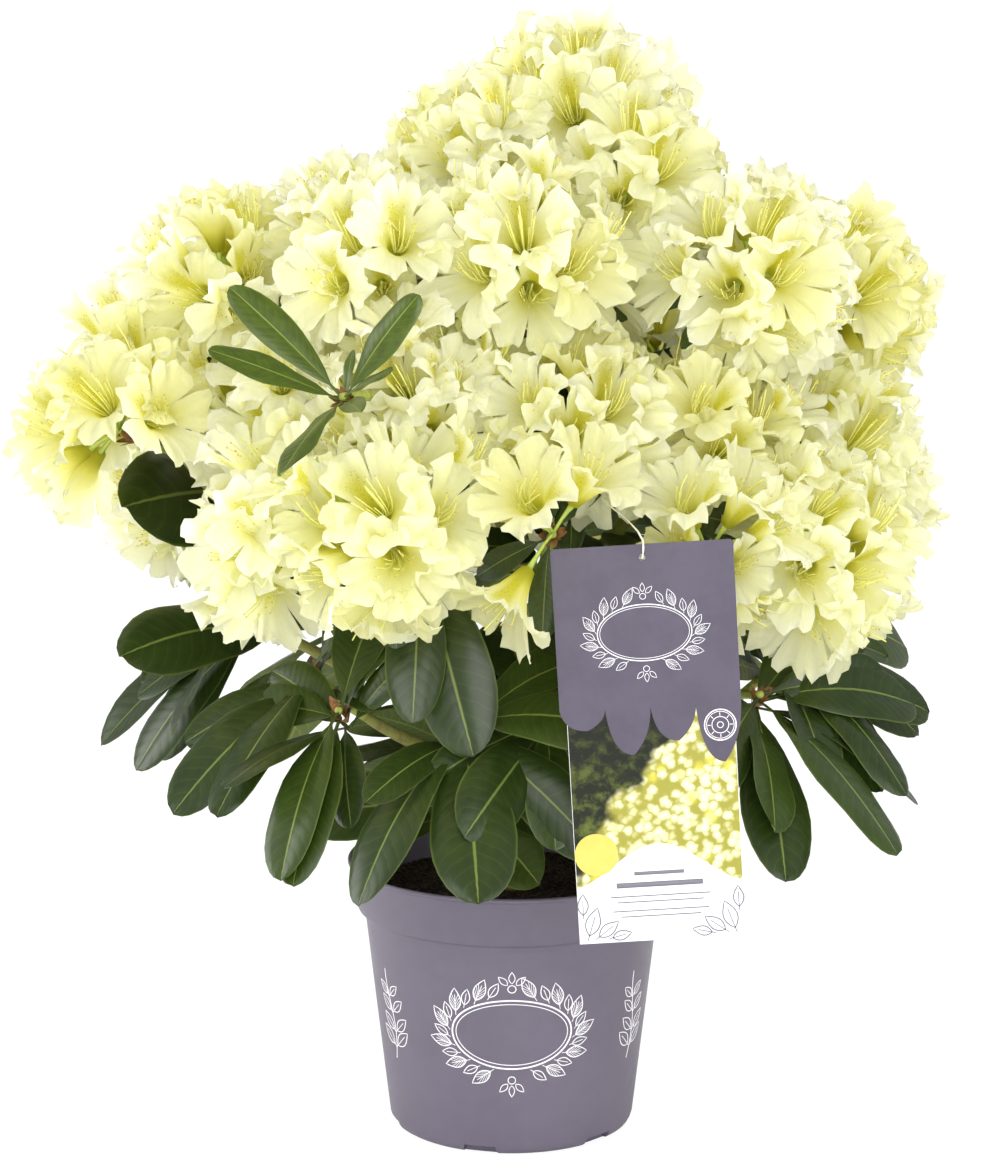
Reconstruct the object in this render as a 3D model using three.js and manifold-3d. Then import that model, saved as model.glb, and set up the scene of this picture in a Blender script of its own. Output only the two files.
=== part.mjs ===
// A flowering rhododendron in its nursery pot, with a hang tag on one of its front boughs.
// Millimetres, +Z up. The origin is the middle of the pot's flat underside, and -Y is the plant's front.
//
// The pot holds its soil, the trunk stands on the soil, and every bough ends where it enters a mass.
// A mass is one stem that forks into shoots. A flowering shoot ends in a truss, a dome of funnel
// flowers over a whorl of leaves, and a leafy shoot ends in whorls of leaves alone.

import * as THREE from 'three';
import { mergeVertices } from 'three/addons/utils/BufferGeometryUtils.js';
import Module from 'manifold-3d';

const wasm = await Module();
wasm.setup();

// ---------------------------------------------------------------- driving dimensions

const SEAT_GAP = 0.3; // what touching pieces keep between them
const UP = new THREE.Vector3(0, 0, 1);

const pot = {
  height: 182,
  rimRadius: 110,
  rimBandHeight: 33,
  rimBandFootRadius: 103.5,
  bodyTopRadius: 98.5,
  baseRadius: 81.5,
  baseCorner: 6,
  wall: 2,
  floor: 9,
  sides: 28,
  notches: 6,
  notchWidth: 26,
  notchHeight: 6,
  notchDepth: 14,
};

const soil = { level: 163, crown: 4 };

const trunk = {
  footRadius: 10,
  flareRadius: 17,
  flareHeight: 22,
  tipRadius: 7.5,
  height: 118,
  leanX: -14,
  leanY: -6,
  sides: 10,
};

const bough = { footRadius: 5.6, tipRadius: 3.4, sides: 5, steps: 3 };

const crown = {
  heartHeight: 370, // what the trusses look away from
  whorlRise: 50, // degrees that a whorl's own axis rises above level
  youngShare: 0.35,
};

const shoot = {
  stemLength: 16,
  stemRadius: 3.1,
  floweringLength: 66,
  leafyLength: 34,
  lonelyLength: 14,
  tipRadius: 2.4,
  budRadius: 7,
  sides: 3,
};

const truss = {
  flowers: 8,
  siblingGap: 10, // how much nearer a flower is to its own truss than to the next one of the mass
  widestTilt: 104, // degrees from the truss's axis to its outermost flower
  stalk: 24, // from the middle of the truss to the foot of a flower
  stalkRoot: 2.5, // where a stalk starts, inside the bud at the middle of the truss
  flowerLength: 44,
  flowerRadius: 33,
  calyxRadius: 3,
  calyxSides: 3,
  throatDepth: 22,
  notchShare: 0.62, // how far the notch between two petals reaches, as a share of the radius
  notchSetBack: 8,
  petals: 5,
};

const leaf = {
  length: 118,
  widthShare: 0.37,
  thickness: 2.2,
  footOffset: 2, // from the middle of the shoot to the foot of a leaf
  droop: 0.16,
  twist: 25, // the most degrees that a blade is turned about its own midrib
  goldenAngle: 137.508,
};

// The whorls of leaves: how far under the shoot's end they start, how many leaves, the degrees
// between a leaf and the shoot's own line, the length against leaf.length, and how far they spread
// down the shoot.
const WHORLS = {
  underTruss: { drop: 8, count: 2, pitch: 112, size: 0.78, spread: 6 },
  old: { drop: 0, count: 7, pitch: 84, size: 0.98, spread: 16 },
  young: { drop: 0, count: 6, pitch: 62, size: 0.8, spread: 6 },
};

// What a leaf is tried at, in turn: degrees round the shoot, and the share of its length.
const LEAF_TRIES = [[0, 1], [0, 0.85], [68, 1], [-68, 1], [0, 0.7]];

const tag = {
  width: 108,
  height: 242,
  headerHeight: 98,
  petalDepth: 36,
  card: 0.9,
  holeRadius: 2,
  holeInset: 8,
  x: 83,
  y: -227,
  top: 432,
  turn: 3.5, // degrees that its top leans towards the left
  mass: 'front_right', // the one whose first shoot it hangs on
  hookAt: 0.55,
  frontRoom: 70, // what is kept free in front of it
  cordRadius: 0.7,
  knotRadius: 3,
};

// Every bough, in the order they are set: where it leaves its parent, and the place of its tip by
// bearing (degrees from +X towards +Y), reach from the pot's axis and height above the ground.
// flowering and leafy give the number of shoots of the mass at its tip, fork the degrees between a
// shoot and the bough's line, and spin turns the shoots round that line. Where one shoot is the
// leader it goes straight on, among the others. face is the bearing that leafy whorls lean to, where
// it is not straight out from the pot's axis.
const BOUGHS = [
  { name: 'crown_top', from: 'trunk', at: 1.0, bearing: 15, reach: 38, height: 586, flowering: 4, leader: true, fork: 66, spin: 75 },
  { name: 'left', from: 'trunk', at: 0.86, bearing: -177, reach: 208, height: 445, flowering: 2, fork: 59, spin: 166 },
  { name: 'right', from: 'trunk', at: 0.8, bearing: 3, reach: 150, height: 402, flowering: 3, fork: 46, spin: 186 },
  { name: 'front_left', from: 'trunk', at: 0.92, bearing: -113, reach: 145, height: 412, flowering: 2, fork: 46, spin: 98 },
  { name: 'back_left', from: 'trunk', at: 0.72, bearing: 144, reach: 178, height: 394, flowering: 3, fork: 52, spin: 82 },
  { name: 'back_right', from: 'trunk', at: 0.64, bearing: 48, reach: 191, height: 425, flowering: 3, fork: 53, spin: 169 },
  { name: 'front_right', from: 'trunk', at: 0.97, bearing: -81, reach: 136, height: 410, flowering: 2, fork: 46, spin: 69 },
  { name: 'right_high', from: 'crown_top', at: 0.2, bearing: -13, reach: 161, height: 529, flowering: 2, fork: 66, spin: 157 },
  { name: 'front_high', from: 'crown_top', at: 0.3, bearing: -110, reach: 79, height: 521, flowering: 2, fork: 46, spin: 6 },
  { name: 'back_high', from: 'crown_top', at: 0.4, bearing: 91, reach: 107, height: 528, flowering: 2, fork: 49, spin: 13 },
  { name: 'upper_left', from: 'left', at: 0.4, bearing: 178, reach: 133, height: 508, flowering: 2, fork: 46, spin: 132 },
  { name: 'left_front', from: 'left', at: 0.5, bearing: -152, reach: 156, height: 408, flowering: 2, fork: 46, spin: 101 },
  { name: 'right_front', from: 'right', at: 0.3, bearing: -41, reach: 157, height: 386, flowering: 3, fork: 46, spin: 324 },
  { name: 'back', from: 'back_right', at: 0.45, bearing: 95, reach: 175, height: 459, flowering: 2, fork: 54, spin: 351 },
  { name: 'back_low', from: 'back_right', at: 0.3, bearing: 86, reach: 170, height: 368, flowering: 2, fork: 57, spin: 357 },
  { name: 'low_left', from: 'trunk', at: 0.66, bearing: -144, reach: 117, height: 293, leafy: 2, fork: 50, spin: 337, face: -125 },
  { name: 'low_front', from: 'trunk', at: 0.5, bearing: -92, reach: 116, height: 285, leafy: 2, fork: 50, spin: 187 },
  { name: 'low_right', from: 'trunk', at: 0.55, bearing: -30, reach: 158, height: 303, leafy: 2, fork: 50, spin: 196, face: -55 },
  { name: 'side_right', from: 'back_right', at: 0.25, bearing: 17, reach: 163, height: 321, leafy: 2, fork: 69, spin: 173, face: -30 },
  { name: 'low_back_right', from: 'back_right', at: 0.35, bearing: 61, reach: 145, height: 305, leafy: 2, fork: 64, spin: 178 },
  { name: 'low_back_left', from: 'back_left', at: 0.4, bearing: 122, reach: 142, height: 307, leafy: 2, fork: 65, spin: 183 },
  { name: 'side_left', from: 'back_left', at: 0.3, bearing: 165, reach: 159, height: 325, leafy: 2, fork: 69, spin: 186, face: -150 },
  { name: 'sprig', from: 'front_high', at: 0.92, bearing: -115, reach: 205, height: 515, leafy: 1, fork: 0, spin: 0, young: true },
];

// Leafy shoots that leave the trunk itself, low over the soil.
const FOOT_SHOOTS = [
  { name: 'foot_front', at: 0.4, bearing: -126, reach: 59, height: 231 },
  { name: 'foot_back', at: 0.42, bearing: 107, reach: 69, height: 245 },
  { name: 'foot_right', at: 0.35, bearing: 7, reach: 66, height: 240 },
];

// ---------------------------------------------------------------- small tools

const radians = THREE.MathUtils.degToRad;

// Draws numbers between two limits, the same ones for the same seed.
function seededDraws(seed) {
  const multiplier = 48271;
  const modulus = 2147483647;
  let state = (seed * 7919 + 12345) % modulus;
  return (low, high) => {
    state = (state * multiplier) % modulus;
    return low + ((high - low) * state) / modulus;
  };
}

function solidFrom(geometry) {
  const bare = geometry.index ? geometry.toNonIndexed() : geometry.clone();
  bare.deleteAttribute('normal');
  bare.deleteAttribute('uv');
  const merged = mergeVertices(bare, 1e-4);
  const corners = merged.index.array;
  const kept = [];
  for (let i = 0; i < corners.length; i += 3) {
    const [a, b, c] = corners.slice(i, i + 3);
    if (a !== b && b !== c && a !== c) kept.push(a, b, c);
  }
  const vertProperties = merged.attributes.position.array;
  return new wasm.Manifold(new wasm.Mesh({ numProp: 3, vertProperties, triVerts: new Uint32Array(kept) }));
}

function geometryFrom(solid) {
  const mesh = solid.getMesh();
  const places = new Float32Array(mesh.numVert * 3);
  for (let i = 0; i < mesh.numVert; i++) {
    places.set(mesh.vertProperties.subarray(i * mesh.numProp, i * mesh.numProp + 3), i * 3);
  }
  const geometry = new THREE.BufferGeometry();
  geometry.setAttribute('position', new THREE.BufferAttribute(places, 3));
  geometry.setIndex(new THREE.BufferAttribute(mesh.triVerts, 1));
  geometry.computeVertexNormals();
  return geometry;
}

// The outermost body of a solid: a space shut in among its leaves and petals is filled.
const outermost = (solid) => solid.decompose().reduce((a, b) => (a.volume() > b.volume() ? a : b));

const joined = (solids) => outermost(solids.reduce((whole, piece) => whole.add(piece)));

// Two directions at right angles to an axis: the first is level.
function acrossAxis(axis) {
  const level = new THREE.Vector3().crossVectors(UP, axis);
  if (level.lengthSq() < 1e-4) level.set(1, 0, 0);
  level.normalize();
  return [level, new THREE.Vector3().crossVectors(axis, level).normalize()];
}

// A direction at an angle (degrees) to an axis, at a turn (degrees) round it.
function tilted(axis, angle, turn) {
  const [level, other] = acrossAxis(axis);
  return axis
    .clone()
    .multiplyScalar(Math.cos(radians(angle)))
    .addScaledVector(level, Math.sin(radians(angle)) * Math.cos(radians(turn)))
    .addScaledVector(other, Math.sin(radians(angle)) * Math.sin(radians(turn)))
    .normalize();
}

// A closed cylinder bent along a curve, with its radius given by the share of the way along it.
function limbGeometry(curve, radiusAt, sides, steps) {
  const geometry = new THREE.CylinderGeometry(1, 1, 1, sides, steps);
  const frames = curve.computeFrenetFrames(steps);
  const place = geometry.attributes.position;
  for (let i = 0; i < place.count; i++) {
    const step = Math.round((place.getY(i) + 0.5) * steps);
    const radius = radiusAt(step / steps);
    const point = curve
      .getPointAt(step / steps)
      .addScaledVector(frames.binormals[step], place.getX(i) * radius)
      .addScaledVector(frames.normals[step], place.getZ(i) * radius);
    place.setXYZ(i, point.x, point.y, point.z);
  }
  return geometry;
}

// ---------------------------------------------------------------- pot and soil

// The outside of the pot's wall at a height, below its rim band.
function wallRadius(height) {
  const bodyTop = pot.height - pot.rimBandHeight - 3;
  return pot.baseRadius + ((pot.bodyTopRadius - pot.baseRadius) * height) / bodyTop;
}

function potSolid() {
  const bandFoot = pot.height - pot.rimBandHeight;
  const lip = 4;
  const corner = pot.baseCorner;
  const outside = [
    [0, 0],
    [pot.baseRadius - corner, 0],
    [pot.baseRadius - 0.25 * corner, 0.3 * corner],
    [wallRadius(corner), corner],
    [pot.bodyTopRadius, bandFoot - 3],
    [pot.rimBandFootRadius, bandFoot],
    [pot.rimRadius - 2.5, pot.height - lip],
    [pot.rimRadius, pot.height - 0.6 * lip],
    [pot.rimRadius - 0.6, pot.height],
  ];
  const inside = [
    [pot.rimRadius - 2.5, pot.height],
    [pot.rimRadius - 2.5 - pot.wall, pot.height - lip],
    [pot.rimBandFootRadius - pot.wall, bandFoot + pot.wall],
    [pot.bodyTopRadius - pot.wall, bandFoot - 3],
    [wallRadius(pot.floor) - pot.wall, pot.floor],
    [0, pot.floor],
  ];
  const profile = [...outside, ...inside].map(([x, y]) => new THREE.Vector2(x, y));
  const shell = solidFrom(new THREE.LatheGeometry(profile, pot.sides).rotateX(Math.PI / 2));
  const notch = new THREE.BoxGeometry(pot.notchDepth, pot.notchWidth, 2 * pot.notchHeight);
  const notches = Array.from({ length: pot.notches }, (_, i) =>
    solidFrom(
      notch
        .clone()
        .translate(pot.baseRadius, 0, 0)
        .rotateZ(((i + 0.25) / pot.notches) * 2 * Math.PI),
    ),
  );
  return notches.reduce((whole, cut) => whole.subtract(cut), shell);
}

function soilSolid() {
  const inner = (height) => wallRadius(height) - pot.wall - SEAT_GAP;
  const bandFoot = pot.height - pot.rimBandHeight;
  const profile = [
    [0, pot.floor + SEAT_GAP],
    [inner(pot.floor) - SEAT_GAP, pot.floor + SEAT_GAP],
    [inner(bandFoot - 3), bandFoot - 3],
    [inner(bandFoot) + soil.crown, soil.level - soil.crown],
    [0.6 * pot.rimRadius, soil.level],
    [0, soil.level],
  ].map(([x, y]) => new THREE.Vector2(x, y));
  return solidFrom(new THREE.LatheGeometry(profile, pot.sides).rotateX(Math.PI / 2));
}

// ---------------------------------------------------------------- limbs

const trunkCurve = new THREE.CatmullRomCurve3([
  new THREE.Vector3(0, 0, soil.level - 2),
  new THREE.Vector3(0.2 * trunk.leanX, 0.2 * trunk.leanY, soil.level + 0.4 * trunk.height),
  new THREE.Vector3(trunk.leanX, trunk.leanY, soil.level + trunk.height),
]);

function trunkRadius(share) {
  const flare = Math.max(0, 1 - (share * trunk.height) / trunk.flareHeight);
  const straight = THREE.MathUtils.lerp(trunk.footRadius, trunk.tipRadius, share);
  return straight + (trunk.flareRadius - trunk.footRadius) * flare * flare;
}

const boughRadius = (share) => THREE.MathUtils.lerp(bough.footRadius, bough.tipRadius, share);

// A bough swings out from its parent and turns up towards its tip.
function boughCurve(row, parents) {
  const start = parents[row.from ?? 'trunk'].curve.getPointAt(Math.min(row.at, 0.98));
  const tip = new THREE.Vector3(
    row.reach * Math.cos(radians(row.bearing)),
    row.reach * Math.sin(radians(row.bearing)),
    row.height,
  );
  const swing = new THREE.Vector3().subVectors(tip, start);
  const elbow = start.clone().add(new THREE.Vector3(0.55 * swing.x, 0.55 * swing.y, 0.36 * swing.z));
  return new THREE.QuadraticBezierCurve3(start, elbow, tip);
}

const limbs = { trunk: { curve: trunkCurve, radiusAt: trunkRadius } };
for (const row of BOUGHS) {
  limbs[row.name] = { curve: boughCurve(row, limbs), radiusAt: boughRadius };
}

// ---------------------------------------------------------------- how a mass grows

// A truss looks out of the heart of the crown, and a whorl of leaves looks up and out.
const outOfHeart = (end) => end.clone().sub(new THREE.Vector3(0, 0, crown.heartHeight)).normalize();
const upAndOut = (end, face) => {
  const bearing = face === undefined ? Math.atan2(end.y, end.x) : radians(face);
  const level = Math.cos(radians(crown.whorlRise));
  return new THREE.Vector3(level * Math.cos(bearing), level * Math.sin(bearing), Math.sin(radians(crown.whorlRise)));
};

// The shoots of one mass, before any leaf or flower: where they fork, and the head each one ends in.
function shootsOf(row) {
  const { curve } = limbs[row.name];
  const axis = curve.getTangentAt(1);
  const start = curve.getPointAt(1);
  const fork = start.clone().addScaledVector(axis, shoot.stemLength);
  const count = row.flowering ?? row.leafy;
  const branched = row.flowering ? shoot.floweringLength : shoot.leafyLength;
  const heads = Array.from({ length: count }, (_, k) => {
    const leads = count === 1 || (row.leader && k === 0);
    const turn = row.spin + (360 * k) / (row.leader ? count - 1 : count);
    const away = tilted(axis, leads ? 0 : row.fork, turn);
    const end = fork.clone().addScaledVector(away, count > 1 ? branched : shoot.lonelyLength);
    const bend = fork.clone().lerp(end, 0.5).addScaledVector(axis, -0.06 * branched);
    const curve = new THREE.QuadraticBezierCurve3(fork.clone().addScaledVector(axis, -2), bend, end);
    return { end, heading: row.flowering || row.young ? outOfHeart(end) : upAndOut(end, row.face), curve };
  });
  const stem = new THREE.LineCurve3(start.clone().addScaledVector(axis, SEAT_GAP), fork.clone().addScaledVector(axis, 3));
  return { row, stem, heads };
}

// A foot shoot is one stem that leaves the trunk and ends in a whorl.
function footShootOf(row) {
  const stem = boughCurve(row, limbs);
  const end = stem.getPointAt(1);
  return { row: { ...row, leafy: 1 }, stem, heads: [{ end, heading: upAndOut(end), curve: null }] };
}

const masses = [...BOUGHS.map(shootsOf), ...FOOT_SHOOTS.map(footShootOf)];

// How far from its own head towards another mass's head a mass's space goes, as a share of the
// way: half of it, but a young whorl makes room for what is beside it.
function spaceShare(own, other) {
  if (Boolean(own.row.young) === Boolean(other.row.young)) return 0.5;
  return own.row.young ? crown.youngShare : 1 - crown.youngShare;
}

// A head owns the space that is nearer to it than to any head of another mass.
function keepsToItsSpace(points, own, head, margin) {
  return masses.every((other) => {
    if (other === own) return true;
    return other.heads.every(({ end }) => {
      const between = new THREE.Vector3().subVectors(end, head.end);
      const halfWay = spaceShare(own, other) * between.length();
      between.normalize();
      return points.every((p) => between.dot(p) - between.dot(head.end) < halfWay - margin);
    });
  });
}

// Everything that leaves and flowers keep clear of, grown by the gap between touching pieces.
function grownLimb({ curve, radiusAt }, sides, steps) {
  return solidFrom(limbGeometry(curve, (share) => radiusAt(share) + SEAT_GAP, sides, steps));
}

// The hang tag's own frame: its middle is the origin, x across it, z up it and y through it.
const tagFrame = new THREE.Matrix4()
  .makeTranslation(tag.x, tag.y, tag.top - tag.height / 2)
  .multiply(new THREE.Matrix4().makeRotationY(-radians(tag.turn)));
const hanger = masses.find(({ row }) => row.name === tag.mass).heads[0].curve;
const cordHook = hanger.getPointAt(tag.hookAt);
const cordHole = new THREE.Vector3(0, 0, tag.height / 2 - tag.holeInset).applyMatrix4(tagFrame);

function potRoom() {
  const bandFoot = pot.height - pot.rimBandHeight;
  const profile = [
    [0, 0],
    [pot.baseRadius + 1, 0],
    [pot.bodyTopRadius + 1, bandFoot - 4],
    [pot.rimRadius + 1.5, pot.height - 5],
    [pot.rimRadius + 1.5, pot.height + 1.5],
    [pot.rimRadius - 6, pot.height + 1.5],
    [pot.bodyTopRadius - 2, soil.level + 1],
    [0, soil.level + 1],
  ].map(([x, y]) => new THREE.Vector2(x, y));
  return solidFrom(new THREE.LatheGeometry(profile, 24).rotateX(Math.PI / 2));
}

function tagRoom() {
  const plate = new THREE.BoxGeometry(tag.width + 6, tag.frontRoom, tag.height + 6)
    .translate(0, 5 - tag.frontRoom / 2, 0)
    .applyMatrix4(tagFrame);
  const line = new THREE.LineCurve3(cordHole, cordHook);
  return solidFrom(plate).add(solidFrom(limbGeometry(line, () => 4, 5, 1)));
}

const grownLimbs = Object.entries(limbs).map(([name, limb]) =>
  name === 'trunk' ? grownLimb(limb, trunk.sides, 8) : grownLimb(limb, bough.sides, bough.steps),
);
const obstacles = [...grownLimbs, potRoom(), tagRoom()].reduce((whole, piece) => whole.add(piece));

const twigRoom = new Map(
  masses.map((mass) => [
    mass,
    [mass.stem, ...mass.heads.flatMap(({ curve }) => curve ?? [])]
      .map((curve) => solidFrom(limbGeometry(curve, () => shoot.stemRadius + 1, 5, 3)))
      .reduce((whole, piece) => whole.add(piece)),
  ]),
);

// The piece as a solid, or null where it would leave its mass's space or touch what it must not.
function fitted(geometry, own, head) {
  const place = geometry.attributes.position;
  const corners = Array.from({ length: place.count }, (_, i) => new THREE.Vector3().fromBufferAttribute(place, i));
  if (!keepsToItsSpace(corners, own, head, SEAT_GAP)) return null;
  const piece = solidFrom(geometry);
  const touches = (other) => piece.intersect(other).numTri() > 0;
  if (touches(obstacles)) return null;
  return masses.some((other) => other !== own && touches(twigRoom.get(other))) ? null : piece;
}

// ---------------------------------------------------------------- leaves

// Half the width of a leaf, as a share of its greatest, at a share of the way along it.
const leafOutline = (share) => Math.sin(Math.PI * Math.pow(share, 0.85));

function leafPoint({ foot, away, across, length, droop }, share, side) {
  const halfWidth = 0.5 * leaf.widthShare * length * leafOutline(share);
  return foot
    .clone()
    .addScaledVector(away, length * share)
    .addScaledVector(UP, -droop * length * share * share)
    .addScaledVector(across, side * halfWidth);
}

// A blade with a keel under its midrib: a sphere of three sides and three bands, laid out as a leaf.
function leafGeometry(grown) {
  const geometry = new THREE.SphereGeometry(1, 3, 3);
  const under = new THREE.Vector3().crossVectors(grown.away, grown.across).normalize();
  const place = geometry.attributes.position;
  for (let i = 0; i < place.count; i++) {
    const share = [0, 0.42, 0.78, 1][Math.round((1.5 * Math.acos(place.getY(i)) * 2) / Math.PI)];
    const edge = Math.abs(place.getZ(i)) > 0.1;
    const point = leafPoint(grown, share, edge ? Math.sign(place.getZ(i)) : 0);
    const isTip = share === 0 || share === 1;
    if (!edge && !isTip) point.addScaledVector(under, leaf.thickness);
    place.setXYZ(i, point.x, point.y, point.z);
  }
  return geometry;
}

// A whorl: leaves at the golden angle round a shoot. Each is tried shorter and then in the next
// place round the shoot before it is left out.
function growWhorl(own, head, { centre, count, pitch, size, spread }, draw) {
  const axis = head.heading;
  const leaves = [];
  for (let i = 0; i < count; i++) {
    const turn = i * leaf.goldenAngle + draw(-14, 14);
    const lean = pitch + draw(-12, 12);
    const fullLength = leaf.length * size * draw(0.86, 1.1);
    const twist = radians(draw(-leaf.twist, leaf.twist));
    for (const [aside, shortened] of LEAF_TRIES) {
      const away = tilted(axis, lean, turn + aside);
      const across = new THREE.Vector3().crossVectors(away, axis).normalize().applyAxisAngle(away, twist);
      const foot = centre.clone().addScaledVector(axis, -spread * (i / count)).addScaledVector(away, leaf.footOffset);
      const grown = { foot, away, across, length: fullLength * shortened, droop: own.row.young ? 0 : leaf.droop };
      const piece = fitted(leafGeometry(grown), own, head);
      if (piece) {
        leaves.push(piece);
        break;
      }
    }
  }
  return leaves;
}

// ---------------------------------------------------------------- flowers

// A five-petalled funnel: three corners at the calyx, and a petal's tip and a notch by turns at
// the mouth. It is turned about +Y and then laid along its own axis.
function flowerGeometry({ foot, away, roll, size }) {
  const mouth = truss.flowerLength;
  const profile = [
    [0, truss.stalkRoot - truss.stalk],
    [truss.calyxRadius, 0],
    [truss.flowerRadius, mouth],
    [0, mouth - truss.throatDepth],
  ].map(([x, y]) => new THREE.Vector2(x, y));
  const sides = 2 * truss.petals;
  const geometry = new THREE.LatheGeometry(profile, sides);
  const place = geometry.attributes.position;
  const ring = profile.length;
  for (let i = 0; i < place.count; i++) {
    const side = Math.floor(i / ring) % sides;
    const onCalyx = i % ring === 1;
    const calyxCorner = Math.floor((side * truss.calyxSides) / sides) / truss.calyxSides;
    const inNotch = i % ring === 2 && side % 2 === 1;
    const turn = 2 * Math.PI * (onCalyx ? calyxCorner : side / sides);
    const out = Math.hypot(place.getX(i), place.getZ(i)) * (inNotch ? truss.notchShare : 1);
    const along = place.getY(i) - (inNotch ? truss.notchSetBack : 0);
    place.setXYZ(i, out * Math.sin(turn), along, out * Math.cos(turn));
  }
  const laid = new THREE.Quaternion().setFromUnitVectors(new THREE.Vector3(0, 1, 0), away);
  return geometry
    .rotateY(radians(roll))
    .scale(size, size, size)
    .applyQuaternion(laid)
    .translate(foot.x, foot.y, foot.z);
}

// A truss: flowers at the golden angle over a dome, each tried smaller before it is left out.
function growTruss(own, head, draw) {
  const lowest = Math.cos(radians(truss.widestTilt));
  const flowers = [];
  for (let i = 0; i < truss.flowers; i++) {
    const tilt = THREE.MathUtils.radToDeg(Math.acos(1 - ((i + 0.5) / truss.flowers) * (1 - lowest)));
    const away = tilted(head.heading, tilt + draw(-5, 5), i * leaf.goldenAngle + draw(-5, 5));
    const roll = draw(0, 72);
    const fullSize = draw(0.94, 1.06);
    for (const shrunk of [1, 0.88, 0.76]) {
      const size = fullSize * shrunk;
      const foot = head.end.clone().addScaledVector(away, truss.stalk * size);
      const mouth = foot.clone().addScaledVector(away, truss.flowerLength * size);
      const ownDistance = head.end.distanceTo(mouth) + truss.siblingGap;
      if (own.heads.some((s) => s !== head && s.end.distanceTo(mouth) < ownDistance)) continue;
      const piece = fitted(flowerGeometry({ foot, away, roll, size }), own, head);
      if (piece) {
        flowers.push(piece);
        break;
      }
    }
  }
  return flowers;
}

// ---------------------------------------------------------------- masses

function massSolid(own, index) {
  const draw = seededDraws(index + 1);
  const { row, stem, heads } = own;
  const pieces = [solidFrom(limbGeometry(stem, () => shoot.stemRadius, 5, stem.isLineCurve3 ? 1 : 4))];
  for (const head of heads) {
    const { end, heading, curve } = head;
    const taper = (share) => THREE.MathUtils.lerp(shoot.stemRadius, shoot.tipRadius, share);
    if (curve) pieces.push(solidFrom(limbGeometry(curve, taper, shoot.sides, 2)));
    pieces.push(solidFrom(new THREE.OctahedronGeometry(shoot.budRadius).translate(end.x, end.y, end.z)));
    const { drop, ...whorl } = row.flowering ? WHORLS.underTruss : row.young ? WHORLS.young : WHORLS.old;
    const centre = end.clone().addScaledVector(heading, -drop);
    pieces.push(...growWhorl(own, head, { centre, ...whorl }, draw));
    if (row.flowering) pieces.push(...growTruss(own, head, draw));
  }
  return joined(pieces);
}

// ---------------------------------------------------------------- hang tag

function tagSolid() {
  const half = tag.width / 2;
  const top = tag.height / 2;
  const hole = () => new THREE.Path().absarc(0, top - tag.holeInset, tag.holeRadius, 0, 2 * Math.PI, true);
  const card = new THREE.Shape([
    new THREE.Vector2(-half + 4, -top),
    new THREE.Vector2(half - 4, -top),
    new THREE.Vector2(half - 4, top),
    new THREE.Vector2(-half + 4, top),
  ]);
  card.holes.push(hole());
  const header = new THREE.Shape();
  const hem = top - tag.headerHeight;
  const petals = 4;
  const petalWidth = tag.width / petals;
  header.moveTo(-half, hem);
  for (let i = 0; i < petals; i++) {
    const left = -half + i * petalWidth;
    const deep = tag.petalDepth * [0.35, 0.8, 0.6, 1][i];
    header.quadraticCurveTo(left + 0.1 * petalWidth, hem - deep, left + 0.6 * petalWidth, hem - deep);
    header.quadraticCurveTo(left + petalWidth, hem - 0.6 * deep, left + petalWidth, hem);
  }
  header.lineTo(half, top);
  header.lineTo(-half, top);
  header.holes.push(hole());
  const cut = (shape, front) =>
    solidFrom(
      new THREE.ExtrudeGeometry(shape, { depth: tag.card, bevelEnabled: false, curveSegments: 4 })
        .rotateX(Math.PI / 2)
        .translate(0, front + tag.card, 0)
        .applyMatrix4(tagFrame),
    );
  return cut(card, 0).add(cut(header, -tag.card + 0.1));
}

// The cord starts at a knot behind the card, comes through the hole, goes over the card's top and
// ends in a loop round the shoot that it hangs on.
function cordSolid() {
  const [level, other] = acrossAxis(hanger.getTangentAt(tag.hookAt));
  const loopRadius = shoot.stemRadius + tag.cordRadius + 1.2;
  const through = new THREE.Vector3(0, 1, 0).transformDirection(tagFrame);
  const loop = Array.from({ length: 9 }, (_, i) => {
    const turn = radians(-100 + 36 * i);
    return cordHook
      .clone()
      .addScaledVector(level, loopRadius * Math.cos(turn))
      .addScaledVector(other, loopRadius * Math.sin(turn));
  });
  const inHole = (depth) => cordHole.clone().addScaledVector(through, depth);
  const overTop = inHole(-2.5).addScaledVector(UP, tag.holeInset + 3);
  const path = new THREE.CatmullRomCurve3([inHole(4), inHole(0.5), inHole(-2.5), overTop, ...loop], false, 'centripetal');
  const section = new THREE.Shape().absarc(0, 0, tag.cordRadius, 0, 2 * Math.PI);
  const line = new THREE.ExtrudeGeometry(section, { steps: 24, bevelEnabled: false, extrudePath: path, curveSegments: 2 });
  const knotPlace = inHole(tag.card + SEAT_GAP + tag.knotRadius);
  const knot = new THREE.IcosahedronGeometry(tag.knotRadius).translate(knotPlace.x, knotPlace.y, knotPlace.z);
  return solidFrom(line).add(solidFrom(knot));
}

// ---------------------------------------------------------------- the plant, put together

const finishes = {
  pot: new THREE.MeshStandardMaterial({ color: 0x86808f, roughness: 0.45, metalness: 0 }),
  soil: new THREE.MeshStandardMaterial({ color: 0x2a211d, roughness: 0.95, metalness: 0 }),
  bark: new THREE.MeshStandardMaterial({ color: 0x7d7a45, roughness: 0.8, metalness: 0 }),
  blossom: new THREE.MeshStandardMaterial({ color: 0xf2f0c0, roughness: 0.6, metalness: 0 }),
  foliage: new THREE.MeshStandardMaterial({ color: 0x35482a, roughness: 0.45, metalness: 0 }),
  tag: new THREE.MeshStandardMaterial({ color: 0x7d778a, roughness: 0.5, metalness: 0 }),
  cord: new THREE.MeshStandardMaterial({ color: 0xe6e6e0, roughness: 0.4, metalness: 0 }),
};

const plant = new THREE.Group();

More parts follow.
